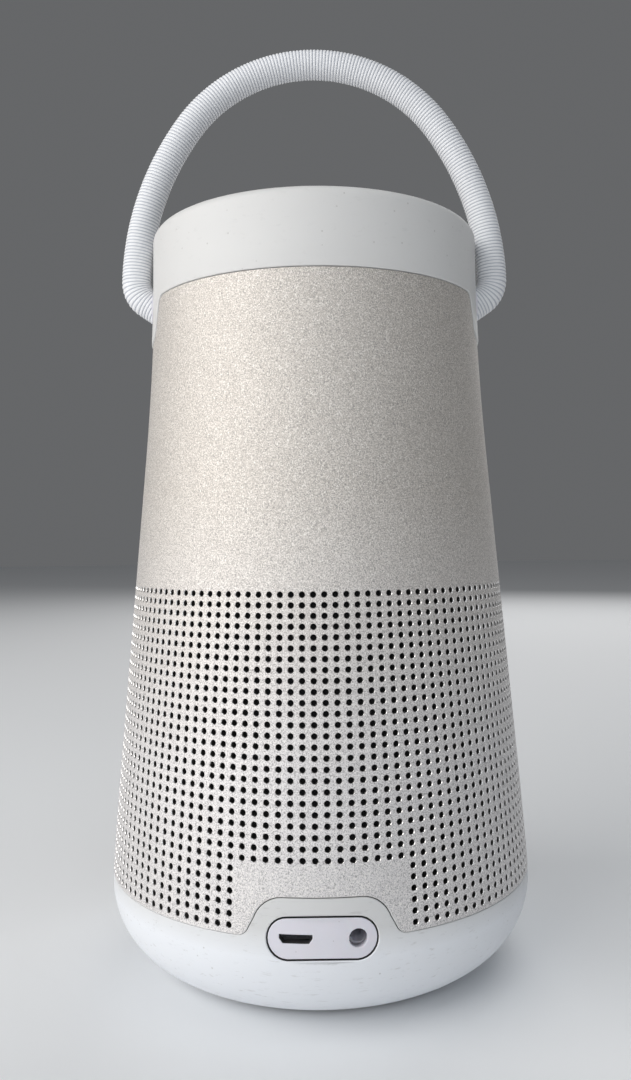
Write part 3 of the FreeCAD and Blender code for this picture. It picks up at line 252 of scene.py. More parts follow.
# ---- Mesh building ----
class Shell:
    """Faces collected by corner points in millimetres, each with a material index and a smooth normal."""

    def __init__(self):
        self.points = []
        self.faces = []
        self.kinds = []
        self.normals = []

    def face(self, corners, kind=0, normals=None):
        start = len(self.points)
        self.points.extend(corners)
        self.faces.append(tuple(range(start, start + len(corners))))
        self.kinds.append(kind)
        self.normals.append(normals)

    def build(self, name, materials):
        """Merge the corners, mark the edges between kinds sharp, and keep the given normals."""
        mesh = bpy.data.meshes.new(name)
        mesh.from_pydata([p * MM for p in self.points], [], self.faces)
        for material in materials:
            mesh.materials.append(material)
        mesh.polygons.foreach_set("material_index", self.kinds)
        mesh.polygons.foreach_set("use_smooth", [True] * len(self.faces))
        wanted = mesh.attributes.new("wanted_normal", "FLOAT_VECTOR", "CORNER")
        flat = []
        for corners, normals in zip(self.faces, self.normals):
            for i in range(len(corners)):
                flat.extend(normals[i] if normals else (0.0, 0.0, 0.0))
        wanted.data.foreach_set("vector", flat)
        work = bmesh.new()
        work.from_mesh(mesh)
        bmesh.ops.remove_doubles(work, verts=work.verts, dist=0.002 * MM)
        for edge in work.edges:
            linked = edge.link_faces
            edge.smooth = len(linked) == 2 and linked[0].material_index == linked[1].material_index
        work.to_mesh(mesh)
        work.free()
        values = [0.0] * (3 * len(mesh.loops))
        mesh.attributes["wanted_normal"].data.foreach_get("vector", values)
        mesh.normals_split_custom_set([values[i:i + 3] for i in range(0, len(values), 3)])
        mesh.attributes.remove(mesh.attributes["wanted_normal"])
        piece = bpy.data.objects.new(name, mesh)
        bpy.context.collection.objects.link(piece)
        return piece
def join_rings(shell, near, far, kind=0, closed=True):
    """Faces between two rings of points, or between two open rows of them."""
    count = len(near)
    for i in range(count if closed else count - 1):
        j = (i + 1) % count
        shell.face([near[j], near[i], far[i], far[j]], kind)


def lathe(shell, profile, angles, closed=False):
    """A profile of (radius, height) points swept through the angles, anticlockwise outside first."""
    rows = [[around(r, angle, z) for angle in angles] for r, z in profile]
    if closed:
        rows.append(rows[0])
    for lower, upper in zip(rows, rows[1:]):
        join_rings(shell, upper, lower, closed=False)
def inside_outline(point, outline):
    """True if the point is inside the closed outline."""
    x, y = point
    inside = False
    for i, (x1, y1) in enumerate(outline):
        x0, y0 = outline[i - 1]
        if (y0 > y) != (y1 > y) and x < (x1 - x0) * (y - y0) / (y1 - y0) + x0:
            inside = not inside
    return inside


def near_outline(point, outline, distance):
    return any(math.hypot(point[0] - x, point[1] - y) < distance for x, y in outline)


def fill_triangles(outline, holes, inner_points):
    """Triangles that fill an outline with holes, through the inner points. All are 2-D points."""
    points = []
    edges = []
    for loop in (outline, *holes):
        start = len(points)
        points += loop
        edges += [(start + i, start + (i + 1) % len(loop)) for i in range(len(loop))]
    points += inner_points
    result = delaunay_2d_cdt([Vector(p) for p in points], edges, [], 0, 1e-7)
    places, _, triangles = result[:3]
    kept = []
    for triangle in triangles:
        centre = sum((places[i] for i in triangle), Vector((0, 0))) / len(triangle)
        if inside_outline(centre, outline) and not any(inside_outline(centre, hole) for hole in holes):
            kept.append([(places[i][0], places[i][1]) for i in triangle])
    return kept

def fill_face(shell, outline, holes, spread, place, kind=0, normal=None, flip=False):
    """Fill an outline with triangles, their corners put in space by place and shaded by normal."""
    for triangle in fill_triangles(outline, holes, spread):
        corners = triangle[::-1] if flip else triangle
        normals = [normal(p) for p in corners] if normal else None
        shell.face([place(p) for p in corners], kind, normals)


def grid_points(outline, holes, step, clear):
    """Grid points inside an outline and outside its holes, clear of every edge point."""
    xs, ys = zip(*outline)
    points = []
    for i in range(1, int((max(xs) - min(xs)) / step) + 1):
        for j in range(1, int((max(ys) - min(ys)) / step) + 1):
            point = (min(xs) + i * step, min(ys) + j * step)
            if not inside_outline(point, outline) or any(inside_outline(point, hole) for hole in holes):
                continue
            if not any(near_outline(point, loop, clear) for loop in (outline, *holes)):
                points.append(point)
    return points

def subdivided(points, longest):
    """A closed outline with its long sides cut into equal pieces."""
    out = []
    for i, (x1, y1) in enumerate(points):
        x0, y0 = points[i - 1]
        pieces = max(1, math.ceil(math.hypot(x1 - x0, y1 - y0) / longest - 1e-6))
        out += [(x0 + (x1 - x0) * k / pieces, y0 + (y1 - y0) * k / pieces) for k in range(1, pieces + 1)]
    return out

def finish_piece(piece, body, node):
    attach(piece, body)
    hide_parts(node)


# ---- Wrapped panels: a sheet given as outlines in (arc length, height), with worked edges ----
class Wrap:
    """Turns (arc length, height, depth) into a point on a surface of revolution round the Z axis."""

    def __init__(self, centre_angle, reach, radius_at):
        self.centre_angle = centre_angle
        self.reach = reach
        self.radius_at = radius_at

    def angle(self, along):
        return self.centre_angle + along / self.reach

    def along(self, side, z):
        """Arc length of a point whose straight distance from the panel's middle plane is side."""
        return math.asin(side / self.radius_at(z)) * self.reach

    def laid(self, outline):
        """A flat outline laid on the surface, with its order reversed."""
        return [(self.along(side, z), z) for side, z in reversed(outline)]

    def point(self, place, depth=0.0):
        return around(self.radius_at(place[1]) - depth, self.angle(place[0]), place[1])
    def normal(self, place, sign=1):
        along, z = place
        near = 0.3
        slope = (self.radius_at(z + near) - self.radius_at(z - near)) / (2 * near)
        return around(1, self.angle(along), -slope).normalized() * sign


def worked_edge(shell, place, border, closed, depth, edge, steps, edge_kind=0, wall_kind=0):
    """Rounded or chamfered edge along a border with the material on its left, then the wall under it."""
    rings = []
    for i in range(steps + 1):
        turn = math.pi / 2 * i / steps
        ring = offset_outline(border, edge * (1 - math.sin(turn)), closed)
        rings.append([place(p, edge * (1 - math.cos(turn))) for p in ring])
    for upper, lower in zip(rings, rings[1:]):
        join_rings(shell, upper, lower, edge_kind, closed)
    join_rings(shell, rings[-1], [place(p, depth) for p in border], wall_kind, closed)


def panel(shell, wrap, sides, border, holes, depth, edge, steps, kinds=(0, 0, 0, 0), step=1.5, hole_walls=()):
    """A wrapped sheet: sides is the part of its outline that joins its neighbours, border the rest.

    Only the border gets an edge. Both run anticlockwise seen from outside, and each hole runs
    clockwise. Kinds are the materials of the outer face, edge, wall and inner face, and hole_walls has
    one for each hole's wall. Step is the size of the triangles outside; they are coarser inside."""
    closed = not sides
    outline = offset_outline(border, edge, closed) + sides
    cut_holes = [offset_outline(hole, edge, True) for hole in holes]
    spread = grid_points(outline, cut_holes, step, step * 0.35)
    fill_face(shell, outline, cut_holes, spread, wrap.point, kinds[0], wrap.normal)
    outline = border + sides
    spread = grid_points(outline, holes, step * 1.5, step * 0.4)
    inner_point, inner_normal = (lambda p: wrap.point(p, depth)), (lambda p: wrap.normal(p, -1))
    fill_face(shell, outline, holes, spread, inner_point, kinds[3], inner_normal, flip=True)
    worked_edge(shell, wrap.point, border, closed, depth, edge, steps, *kinds[1:3])
    for hole, wall in zip(holes, hole_walls or [kinds[2]] * len(holes)):
        worked_edge(shell, wrap.point, hole, True, depth, edge, steps, kinds[1], wall)


# ---- Sleeve ----
SLEEVE_LOW_Z = SEAM[1] + SEAM_GAP
SLEEVE_TOP_Z = NECK[1] - SEAM_GAP
RIM_CHAMFER = 0.18
OUTER, BRIGHT, BORE, INNER = range(4)
SLEEVE_KINDS = (OUTER, BRIGHT, BORE, INNER)
WALL_SIDES = ((0.0, OUTER, 1), (SLEEVE_WALL, INNER, -1))
def column_angle(column):
    return FRONT + column * COLUMN_STEP


def sleeve_point(angle, z, depth=0.0):
    return around(sleeve_radius(z) - depth, angle, z)

def sleeve_normal(angle, z, sign=1):
    """Outward unit normal of the sleeve's profile."""
    low, high = max(z - 0.5, SEAM[1]), min(z + 0.5, NECK[1])
    slope = (sleeve_radius(high) - sleeve_radius(low)) / (high - low)
    return around(1, angle, -slope).normalized() * sign


def wall_face(shell, corners, depth, kind, sign):
    """A face of the wall from (angle, z) corners, anticlockwise outside: sign is 1 outside, -1 inside."""
    corners = corners[::sign]
    normals = [sleeve_normal(a, z, sign) for a, z in corners]
    shell.face([sleeve_point(a, z, depth) for a, z in corners], kind, normals)


def sleeve_face(shell, left, right, lows, highs):
    """The outer and the inner face of a piece of wall, each between its own low and high edge."""
    for side, low, high in zip(WALL_SIDES, lows, highs):
        wall_face(shell, [(left, low), (right, low), (right, high), (left, high)], *side)


def grille_cell(shell, column, z):
    """One square of the sleeve's wall with its round hole, chamfered outside."""
    low, high = z - ROW_PITCH / 2, z + ROW_PITCH / 2
    left, right = column_angle(column), column_angle(column + 1)
    middle = (left + right) / 2
    radius = sleeve_radius(z)
    square = [(right, high), (left, high), (left, low), (right, low)]

    def ring(size):
        turns = [2 * math.pi * (i + 0.5) / HOLE_SIDES for i in range(HOLE_SIDES)]
        return [(middle + size * math.cos(t) / radius, z + size * math.sin(t)) for t in turns]

    wide, narrow = ring(HOLE_R + HOLE_CHAMFER), ring(HOLE_R)
    per_side = HOLE_SIDES // 4
    for quarter, corner in enumerate(square):
        following = square[(quarter + 1) % 4]
        for rim, side in zip((wide, narrow), WALL_SIDES):
            steps = [rim[(quarter * per_side + i) % HOLE_SIDES] for i in range(per_side + 1)]
            for i in range(per_side - 1):
                wall_face(shell, [corner, steps[i + 1], steps[i]], *side)
            wall_face(shell, [corner, following, steps[per_side], steps[per_side - 1]], *side)
    outer = [sleeve_point(a, h) for a, h in wide]
    mid = [sleeve_point(a, h, HOLE_CHAMFER * 1.4) for a, h in narrow]
    inner = [sleeve_point(a, h, SLEEVE_WALL) for a, h in narrow]
    join_rings(shell, mid, outer, BRIGHT)
    join_rings(shell, inner, mid, BORE)

def is_blank(column, row):
    half = BLANK_COLUMNS // 2
    return row >= ROWS - BLANK_ROWS and -half <= column < half

def rim_faces(shell, left, right, z, up):
    """The chamfered bottom (up = -1) or top (up = 1) rim of the sleeve between two angles."""
    places = ((z - up * RIM_CHAMFER, 0.0), (z, RIM_CHAMFER), (z, SLEEVE_WALL))
    rings = [[sleeve_point(a, height, depth) for a in (left, right)] for height, depth in places]
    for near, far, kind in zip(rings, rings[1:], (BRIGHT, BORE)):
        shell.face((near + far[::-1])[::up], kind)

def split_wall(shell, first, second):
    """Wall across the sleeve's thickness where two pieces of it meet, from (angle, z) to (angle, z)."""
    inner = [sleeve_point(*first, SLEEVE_WALL), sleeve_point(*second, SLEEVE_WALL)]
    outer = [sleeve_point(*second), sleeve_point(*first)]
    shell.face(inner + outer, BORE)


def cut_walls(shell, angle, side):
    """Wall down one end of a grille half: side is 1 at its last column and -1 at its first."""
    heights = [GRILLE_TOP_Z - i * ROW_PITCH for i in range(ROWS + 1)]
    walls = [
        [(high, 0.0), (low, 0.0), (low, SLEEVE_WALL), (high, SLEEVE_WALL)]
        for high, low in zip(heights, heights[1:])
    ]
    walls.append([
        (GRILLE_LOW_Z, 0.0),
        (SLEEVE_LOW_Z + RIM_CHAMFER, 0.0),
        (SLEEVE_LOW_Z, RIM_CHAMFER),
        (SLEEVE_LOW_Z, SLEEVE_WALL),
        (GRILLE_LOW_Z, SLEEVE_WALL),
    ])
    for wall in walls:
        shell.face([sleeve_point(angle, z, depth) for z, depth in wall][::side], BORE)

def grille_half(name, first, materials):
    """The perforated part of the sleeve, half way round from its first column."""
    shell = Shell()
    last = first + COLUMNS // 2
    for column in range(first, last):
        left, right = column_angle(column), column_angle(column + 1)
        for row in range(ROWS):
            if not is_blank(column, row):
                grille_cell(shell, column, TOP_ROW_Z - row * ROW_PITCH)
        split_wall(shell, (right, GRILLE_TOP_Z), (left, GRILLE_TOP_Z))
        if not is_blank(column, ROWS - 1):
            lows = (SLEEVE_LOW_Z + RIM_CHAMFER, SLEEVE_LOW_Z)
            sleeve_face(shell, left, right, lows, (GRILLE_LOW_Z, GRILLE_LOW_Z))
            rim_faces(shell, left, right, SLEEVE_LOW_Z, -1)
    cut_walls(shell, column_angle(first), -1)
    cut_walls(shell, column_angle(last), 1)
    if first <= 0 < last:
        arch_panel(shell)
    return shell.build(name, materials)

def arch_panel(shell):
    """The plain part of the sleeve over the ports, cut out round the boot's arch."""
    wrap = Wrap(FRONT, PORT_REACH, sleeve_radius)
    edge = BLANK_COLUMNS / 2 * COLUMN_STEP * wrap.reach
    heights = [BLANK_TOP_Z - i * ROW_PITCH for i in range(BLANK_ROWS + 1)]
    top = [(edge - 2 * edge * i / BLANK_COLUMNS, BLANK_TOP_Z) for i in range(1, BLANK_COLUMNS)]
    sides = [(edge, z) for z in reversed(heights)] + top + [(-edge, z) for z in heights]
    arch = [(wrap.along(x, z), max(z, SLEEVE_LOW_Z)) for x, z in reversed(arch_outline(ARCH_GAP))]
    border = [(-edge, SLEEVE_LOW_Z)] + arch + [(edge, SLEEVE_LOW_Z)]
    panel(shell, wrap, sides, border, [], SLEEVE_WALL, RIM_CHAMFER, 1, SLEEVE_KINDS)


def sleeve_upper(materials):
    """The plain upper part of the sleeve, notched for the band's tabs."""
    shell = Shell()
    notch_columns = 10
    notch_z = 150.0
    rows = 22
    notch_rows = 5
    quarter = COLUMNS // 4
    heights = [GRILLE_TOP_Z + (notch_z - GRILLE_TOP_Z) * i / rows for i in range(rows + 1)]
    last_z = SLEEVE_TOP_Z - RIM_CHAMFER
    levels = [notch_z + (last_z - notch_z) * i / notch_rows for i in range(notch_rows)]
    bands = [(z, z) for z in levels] + [(last_z, SLEEVE_TOP_Z)]
    for column in range(COLUMNS):
        left, right = column_angle(column), column_angle(column + 1)
        for low, high in zip(heights, heights[1:]):
            sleeve_face(shell, left, right, (low, low), (high, high))
        split_wall(shell, (left, GRILLE_TOP_Z), (right, GRILLE_TOP_Z))
        if any(abs(column + 0.5 - middle) < notch_columns for middle in (quarter, 3 * quarter)):
            continue
        for lows, highs in zip(bands, bands[1:]):
            sleeve_face(shell, left, right, lows, highs)
        rim_faces(shell, left, right, SLEEVE_TOP_Z, 1)
    for middle in (0.0, math.pi):
        wrap = Wrap(middle, 45.0, sleeve_radius)
        edge = notch_columns * COLUMN_STEP * wrap.reach
        low_run = [(-edge + edge * i / notch_columns, notch_z) for i in range(2 * notch_columns + 1)]
        sides = [(-edge, z) for z in levels[:0:-1]] + low_run + [(edge, z) for z in levels[1:]]
        tab = [(y, min(z, SLEEVE_TOP_Z)) for y, z in tab_outline(ARCH_GAP)]
        border = [(edge, SLEEVE_TOP_Z)] + [(wrap.along(y, z), z) for y, z in tab] + [(-edge, SLEEVE_TOP_Z)]
        panel(shell, wrap, sides, border, [], SLEEVE_WALL, RIM_CHAMFER, 1, SLEEVE_KINDS, 2.4)
    return shell.build("sleeve_upper", materials)


# ---- Cloth behind the grille ----
def cloth_liner(material):
    """Woven ring pressed against the inside of the sleeve, with a notch at the arch."""
    shell = Shell()
    gap, thick = SLEEVE_WALL + 0.15, 0.45
    low_z, top_z = 23.2, 95.0
    notch_half, notch_z = 24, 31.6
    sides = 180
    angles = [FRONT + 2 * math.pi * (i + 0.5) / sides for i in range(sides)]
    heights = [low_z, notch_z] + [notch_z + (top_z - notch_z) * i / 24 for i in range(1, 25)]
    notch = notch_half * sides / 360

    def wall(i, low, high):
        a, b = angles[i % sides], angles[(i + 1) % sides]
        outer = [(a, low), (b, low), (b, high), (a, high)]
        shell.face([sleeve_point(p, z, gap) for p, z in outer])
        shell.face([sleeve_point(p, z, gap + thick) for p, z in outer[::-1]])

    def edge(first, second):
        outer = [sleeve_point(*first, gap), sleeve_point(*second, gap)]
        shell.face(outer + [sleeve_point(*second, gap + thick), sleeve_point(*first, gap + thick)])

    for i in range(sides):
        a, b = angles[i], angles[(i + 1) % sides]
        in_notch = i < notch or i >= sides - notch - 1
        for low, high in zip(heights[1 if in_notch else 0:], heights[2 if in_notch else 1:]):
            wall(i, low, high)
        floor_z = notch_z if in_notch else low_z
        edge((b, floor_z), (a, floor_z))
        edge((a, top_z), (b, top_z))
    last = math.ceil(notch)
    edge((angles[last], low_z), (angles[last], notch_z))
    edge((angles[-last - 1], notch_z), (angles[-last - 1], low_z))
    return shell.build("cloth_liner", [material])


# ---- Band and boot ----
def ring_angles(columns, first=0, last=None):
    last = columns if last is None else last
    return [FRONT + 2 * math.pi * i / columns for i in range(first, last + 1)]


def band_radius(z):
    if z >= NECK[1]:
        return BAND_R
    return BAND_R + (TAB_LOW_R - BAND_R) * (NECK[1] - z) / (NECK[1] - TAB_LOW[1])

def top_band(material):
    """Silicone ring with a rounded top edge and a tab with a round hole at each pivot."""
    shell = Shell()
    columns = 120
    tab_columns = 11
    quarter = columns // 4
    split_z = 171.0
    rows = 4
    seam_edge = 0.2
    lip_round = 0.8
    lip_start_r = 39.4
    thick = 1.75
    inner_r = BAND_R - thick
    crown = [(BAND_R, split_z + (BAND_TOP_Z - BAND_EDGE - split_z) * i / rows) for i in range(rows)]
    crown += rounded((BAND_R - BAND_EDGE, BAND_TOP_Z - BAND_EDGE), 0, 90, BAND_EDGE, 10)
    crown += [(lip_start_r, BAND_TOP_Z)]
    crown += rounded((LIP_R + lip_round, BAND_TOP_Z - lip_round), 90, 180, lip_round, 5)
    crown += [(LIP_R, LIP_Z), (inner_r, LIP_Z), (inner_r, split_z)]
    lathe(shell, crown, ring_angles(columns))
    skirt = [(inner_r, split_z), (inner_r, NECK[1]), (BAND_R - seam_edge, NECK[1])]
    skirt += rounded((BAND_R - seam_edge, NECK[1] + seam_edge), -90, 0, seam_edge, 3)[1:]
    skirt += [(BAND_R, split_z)]
    for first in (quarter + tab_columns, 3 * quarter + tab_columns):
        lathe(shell, skirt, ring_angles(columns, first, first + 2 * (quarter - tab_columns)))
    for middle in (0.0, math.pi):
        wrap = Wrap(middle, BAND_R, band_radius)
        edge = tab_columns * 2 * math.pi / columns * wrap.reach
        top_run = [(edge - edge * i / tab_columns, split_z) for i in range(2 * tab_columns + 1)]
        border = [(-edge, NECK[1])] + wrap.laid(tab_outline()) + [(edge, NECK[1])]
        hole = wrap.laid(circle_outline(0, PIVOT_Z, COIN_HOLE_R))
        panel(shell, wrap, top_run, border, [hole], thick, seam_edge, 3, step=1.2)
    return shell.build("silicone_band", [material])

HEEL_CENTRE = arc_centre((SEAM[0], BEND_Z), HEEL, HEEL_CURVE, -1)
SOLE_CENTRE = arc_centre(HEEL, SOLE, SOLE_CURVE, -1)
TONGUE_SINK = 0.14


def boot_radius(z):
    """Outer radius of the boot, and of its tongue above the seam."""
    if z > SEAM[1]:
        return sleeve_radius(z) - TONGUE_SINK
    if z > BEND_Z:
        return SEAM[0] - TONGUE_SINK * max(0, z - BEND_Z - 1) / (SEAM[1] - BEND_Z - 1)
    centre, curve = (HEEL_CENTRE, HEEL_CURVE) if z > HEEL[1] else (SOLE_CENTRE, SOLE_CURVE)
    return centre[0] + math.sqrt(max(curve ** 2 - (z - centre[1]) ** 2, 0))


def boot_profile(offset, top_z, steps=12):
    """The boot's outer curve from top_z down to the sole, moved inwards by offset."""
    heel_end, sole_end = inward(HEEL, HEEL_CENTRE, offset), inward(SOLE, SOLE_CENTRE, offset)
    curve = [(SEAM[0] - offset, BEND_Z)]
    curve += arc_points(curve[0], heel_end, HEEL_CURVE - offset, -1, steps)
    curve += arc_points(heel_end, sole_end, SOLE_CURVE - offset, -1, steps)
    return [point for point in curve if point[1] <= top_z]


def inward(point, centre, offset):
    """A point of a curve moved towards the curve's centre."""
    dx, dy = centre[0] - point[0], centre[1] - point[1]
    length = math.hypot(dx, dy)
    return point[0] + dx / length * offset, point[1] + dy / length * offset

def base_boot(materials):
    """Silicone bowl with a sole hole, and a tongue round the ports that fills the sleeve's arch."""
    shell = Shell()
    columns = 120
    front_columns = 8
    thick = 2.2
    seam_edge = 0.22
    edge_steps = 3
    split_z = 15.0
    foot_deep = 0.6
    flank_step = 0.8
    outer = [(boot_radius(split_z), split_z)] + boot_profile(0.0, split_z - 0.3)
    foot = [(r, SOLE[1] + rise) for r, rise in (
        (FOOT_OUT_R, 0), (FOOT_OUT_R, foot_deep), (FOOT_IN_R, foot_deep), (FOOT_IN_R, 0))]
    hub = [(SOLE_HOLE_R, SOLE[1]), (SOLE_HOLE_R, SOLE[1] + thick)]
    inner = boot_profile(thick, split_z - 0.3)[::-1] + [(boot_radius(split_z) - thick, split_z)]
    bowl = outer + foot + hub + inner
    lathe(shell, bowl[::-1], ring_angles(columns))
    flank = [split_z + i * flank_step for i in range(9)]
    cheek = [(boot_radius(z), z) for z in flank]
    for i in range(edge_steps + 1):
        turn = math.pi / 2 * i / edge_steps
        z = SEAM[1] - seam_edge * (1 - math.sin(turn))
        cheek.append((boot_radius(z) - seam_edge * (1 - math.cos(turn)), z))
    wall = [(boot_radius(z) - thick, z) for z in flank + [SEAM[1]]][::-1]
    lathe(shell, cheek + wall, ring_angles(columns, front_columns, columns - front_columns))
    wrap = Wrap(FRONT, PORT_REACH, boot_radius)
    edge = front_columns * 2 * math.pi / columns * wrap.reach
    low_run = [(-edge + edge * i / front_columns, split_z) for i in range(2 * front_columns + 1)]
    sides = [(-edge, z) for z in reversed(flank[1:])] + low_run + [(edge, z) for z in flank[1:]]
    arch = wrap.laid(arch_outline())[::-1]
    border = [(edge, SEAM[1])] + arch + [(-edge, SEAM[1])]
    window = wrap.laid(stadium_outline(PORT_Z, PLATE_HALF + PLATE_GAP, PLATE_ROUND + PLATE_GAP))
    # material 1, on the walls of the arch and of the window, is painted shade
    panel(shell, wrap, sides, border, [window], thick, seam_edge, edge_steps, (0, 0, 1, 0), 1.1)
    return shell.build("silicone_boot", materials)
def usb_outline():
    """Micro-USB slot, anticlockwise from its lower left: the two lower corners are cut back."""
    half, high = USB_WIDE / 2, USB_HIGH / 2
    cut = USB_HIGH * 0.4
    return [
        (USB_X - half + cut, PORT_Z - high),
        (USB_X + half - cut, PORT_Z - high),
        (USB_X + half, PORT_Z + USB_HIGH * 0.05),
        (USB_X + half, PORT_Z + high),
        (USB_X - half, PORT_Z + high),
        (USB_X - half, PORT_Z + USB_HIGH * 0.05),
    ]

def port_plate(materials):
    """Oval plate with the micro-USB slot, dark inside as painted shade, and the round audio opening, pale
    inside; its outer wall is painted shade too.
    """
    shell = Shell()
    thick = 1.9
    edge = 0.16
    wrap = Wrap(FRONT, PORT_REACH, lambda z: PLATE_FACE_R)
    border = wrap.laid(stadium_outline(PORT_Z, PLATE_HALF, PLATE_ROUND))[::-1]
    slot = wrap.laid(subdivided(usb_outline(), 0.8))
    jack = wrap.laid(circle_outline(JACK_X, PORT_Z, JACK_R, 40))
    # material 1, on the plate's outer wall and the slot's wall, is painted shade
    panel(shell, wrap, [], border, [slot, jack], thick, edge, 3, (0, 0, 1, 0), 0.9, (1, 0))
    return shell.build("oval_port_plate", materials)


# ---- Handle ----
def handle_centre_line(apex_z, step):
    """Evenly spaced (x, z, heading) samples from the left pivot over the crown to the right pivot."""
    stretches = (
        (CROWN_RADIUS, CROWN_ANGLE),
        (SIDE_RADIUS, SIDE_ANGLE),
        (HIP_RADIUS, math.pi / 2 - CROWN_ANGLE - SIDE_ANGLE),
        (BEND_RADIUS, BEND_ANGLE),
    )
    length = sum(radius * turn for radius, turn in stretches) + TAIL
    count = math.ceil(length / step)
    half = []
    for i in range(count + 1):
        left = length * i / count
        x, z, heading = 0.0, apex_z, 0.0
        for radius, turn in stretches:
            swept = min(left / radius, turn)
            x += radius * (math.sin(heading + swept) - math.sin(heading))
            z -= radius * (math.cos(heading) - math.cos(heading + swept))
            heading += swept
            left -= swept * radius
        x += max(left, 0) * math.cos(heading)
        z -= max(left, 0) * math.sin(heading)
        half.append((x, z, heading))
    return [(-x, z, -heading) for x, z, heading in half[:0:-1]] + half


def tube_ring(sample, radius, cut_radius, sides=28):
    """Points round the handle's centre line, cut off by the faces of the two pivot discs."""
    x, z, heading = sample
    forward = Vector((math.cos(heading), 0, -math.sin(heading)))
    across = Vector((math.sin(heading), 0, math.cos(heading)))
    disc_x = math.copysign(COIN_X, x)
    ring = []
    for k in range(sides):
        turn = 2 * math.pi * k / sides
        spoke = across * math.cos(turn) + Vector((0, math.sin(turn), 0))
        point = Vector((x, 0, z)) + spoke * radius
        if z < PIVOT_Z + 12 and abs(point.x) < COIN_X:
            point = Vector((x, 0, z)) + spoke * cut_radius
            point += forward * ((disc_x - point.x) / forward.x)
        ring.append(point)
    return ring
def handle_grip(materials):
    """Ribbed cover of the handle: a tube whose radius dips between the ribs, with grooves as material 1, a
    darker copy of the cover as painted shade.
    """
    shell = Shell()
    _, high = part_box("handle_grip")
    per_rib = 6
    line = handle_centre_line(high[2] / MM - GRIP_R, RIB_PITCH / per_rib)
    outer = []
    for i, sample in enumerate(line):
        phase = (i % per_rib) / per_rib
        radius = GRIP_R - RIB_DEEP * (1 - math.sin(math.pi * phase) ** 0.6)
        outer.append(tube_ring(sample, radius, GRIP_R))
    for i, (near, far) in enumerate(zip(outer, outer[1:])):
        # the faces round each groove take material 1, painted shade
        join_rings(shell, near, far, int(i % per_rib in (0, per_rib - 1)))
    inner = [tube_ring(sample, GRIP_BORE_R, GRIP_BORE_R) for sample in line[::per_rib] + line[-1:]]
    for near, far in zip(inner, inner[1:]):
        join_rings(shell, far, near)
    join_rings(shell, inner[0], outer[0])
    join_rings(shell, outer[-1], inner[-1])
    return shell.build("ribbed_grip", materials)


# ---- Top: pad, buttons and foot ----
BUTTON_R = 4.9
BUTTON_AT = 23.0
BUTTON_LOW_Z = 180.9
BUTTON_TOP_Z = 182.9
ICON_HIGH = 0.3
BUTTON_ANGLES = {
    "play_button": 270,
    "volume_up_button": 330,
    "source_button": 30,
    "wireless_button": 90,
    "power_button": 150,
    "volume_down_button": 210,
}
LIGHT_AT = 31.5
LIGHT_X = 2.4
LIGHT_R = 1.0
MIC_ANGLE = math.radians(60)
MIC_R = 0.6
PAD_ROUND = 0.8
PAD_LEVEL_R = 33.35
PAD_SLOPE = 3.0
BUTTON_EDGE = 0.45
BUTTON_DISH = 0.12
STEM_R = 2.2
STEM_LOW_Z = 176.8


def pad_point(place, drop=0.0):
    """A point of the pad's top, level in the middle and rising to its rounded rim, or drop below it."""
    rise = min(1.0, max(0.0, math.hypot(*place) - PAD_LEVEL_R) / PAD_SLOPE)
    return Vector((*place, PAD_TOP_Z + PAD_ROUND * rise ** 1.6 - drop))


def control_pad(material):
    """Silicone disc with round holes for the buttons, the two lights and the microphone."""
    shell = Shell()
    sides = 120
    edge = 0.25
    rim_r = PAD_R - 1.0
    border = circle_outline(0, 0, rim_r, sides)
    middles = [polar(BUTTON_AT, math.radians(angle)) for angle in BUTTON_ANGLES.values()]
    holes = [circle_outline(x, y, BUTTON_HOLE_R, 40) for x, y in middles]
    holes += [circle_outline(x, -LIGHT_AT, LIGHT_R + 0.15, 20) for x in (-LIGHT_X, LIGHT_X)]
    holes.append(circle_outline(*polar(LIGHT_AT, MIC_ANGLE), MIC_R, 16))
    widened = [offset_outline(hole[::-1], edge, True) for hole in holes]
    fill_face(shell, border, widened, grid_points(border, widened, 1.6, 0.5), pad_point)
    fill_face(shell, border, holes, grid_points(border, holes, 4.0, 0.8), level(PAD_LOW_Z), flip=True)
    for hole in holes:
        worked_edge(shell, pad_point, hole[::-1], True, PAD_TOP_Z - PAD_LOW_Z, edge, 3)
    profile = [(rim_r, PAD_TOP_Z + PAD_ROUND)]
    profile += rounded((PAD_R - PAD_ROUND, PAD_TOP_Z), 90, 0, PAD_ROUND, 5)
    profile += [(PAD_R, PAD_LOW_Z), (rim_r, PAD_LOW_Z)]
    lathe(shell, profile[::-1], full_turn(sides))
    return shell.build("silicone_pad", [material])


def button_cap(name, angle, materials):
    """Dished round key with a rounded edge, a stem under it, and its raised mark on top."""
    cap = Shell()
    turns = full_turn(48)
    centre_r = 0.02
    flat_r = BUTTON_R - BUTTON_EDGE
    dish_z = BUTTON_TOP_Z - BUTTON_DISH
    profile = [(centre_r, dish_z)]
    profile += [(r, BUTTON_TOP_Z - BUTTON_DISH * (1 - (r / flat_r) ** 2)) for r in (1.0, 2.0, 3.0, 3.8)]
    profile += rounded((flat_r, BUTTON_TOP_Z - BUTTON_EDGE), 90, 0, BUTTON_EDGE, 6)
    profile += [(BUTTON_R, BUTTON_LOW_Z), (STEM_R, BUTTON_LOW_Z)]
    profile += [(STEM_R, STEM_LOW_Z), (centre_r, STEM_LOW_Z)]
    lathe(cap, profile[::-1], turns)
    cap.face([around(centre_r, t, dish_z) for t in turns[:-1]])
    cap.face([around(centre_r, -t, STEM_LOW_Z) for t in turns[:-1]])
    for outline in ICONS[name]:
        raise_mark(cap, outline, dish_z - 0.05, BUTTON_TOP_Z + ICON_HIGH)
    piece = cap.build(name.replace("button", "cap"), materials)
    piece.data.transform(Matrix.Translation(around(BUTTON_AT, angle, 0) * MM))
    return piece


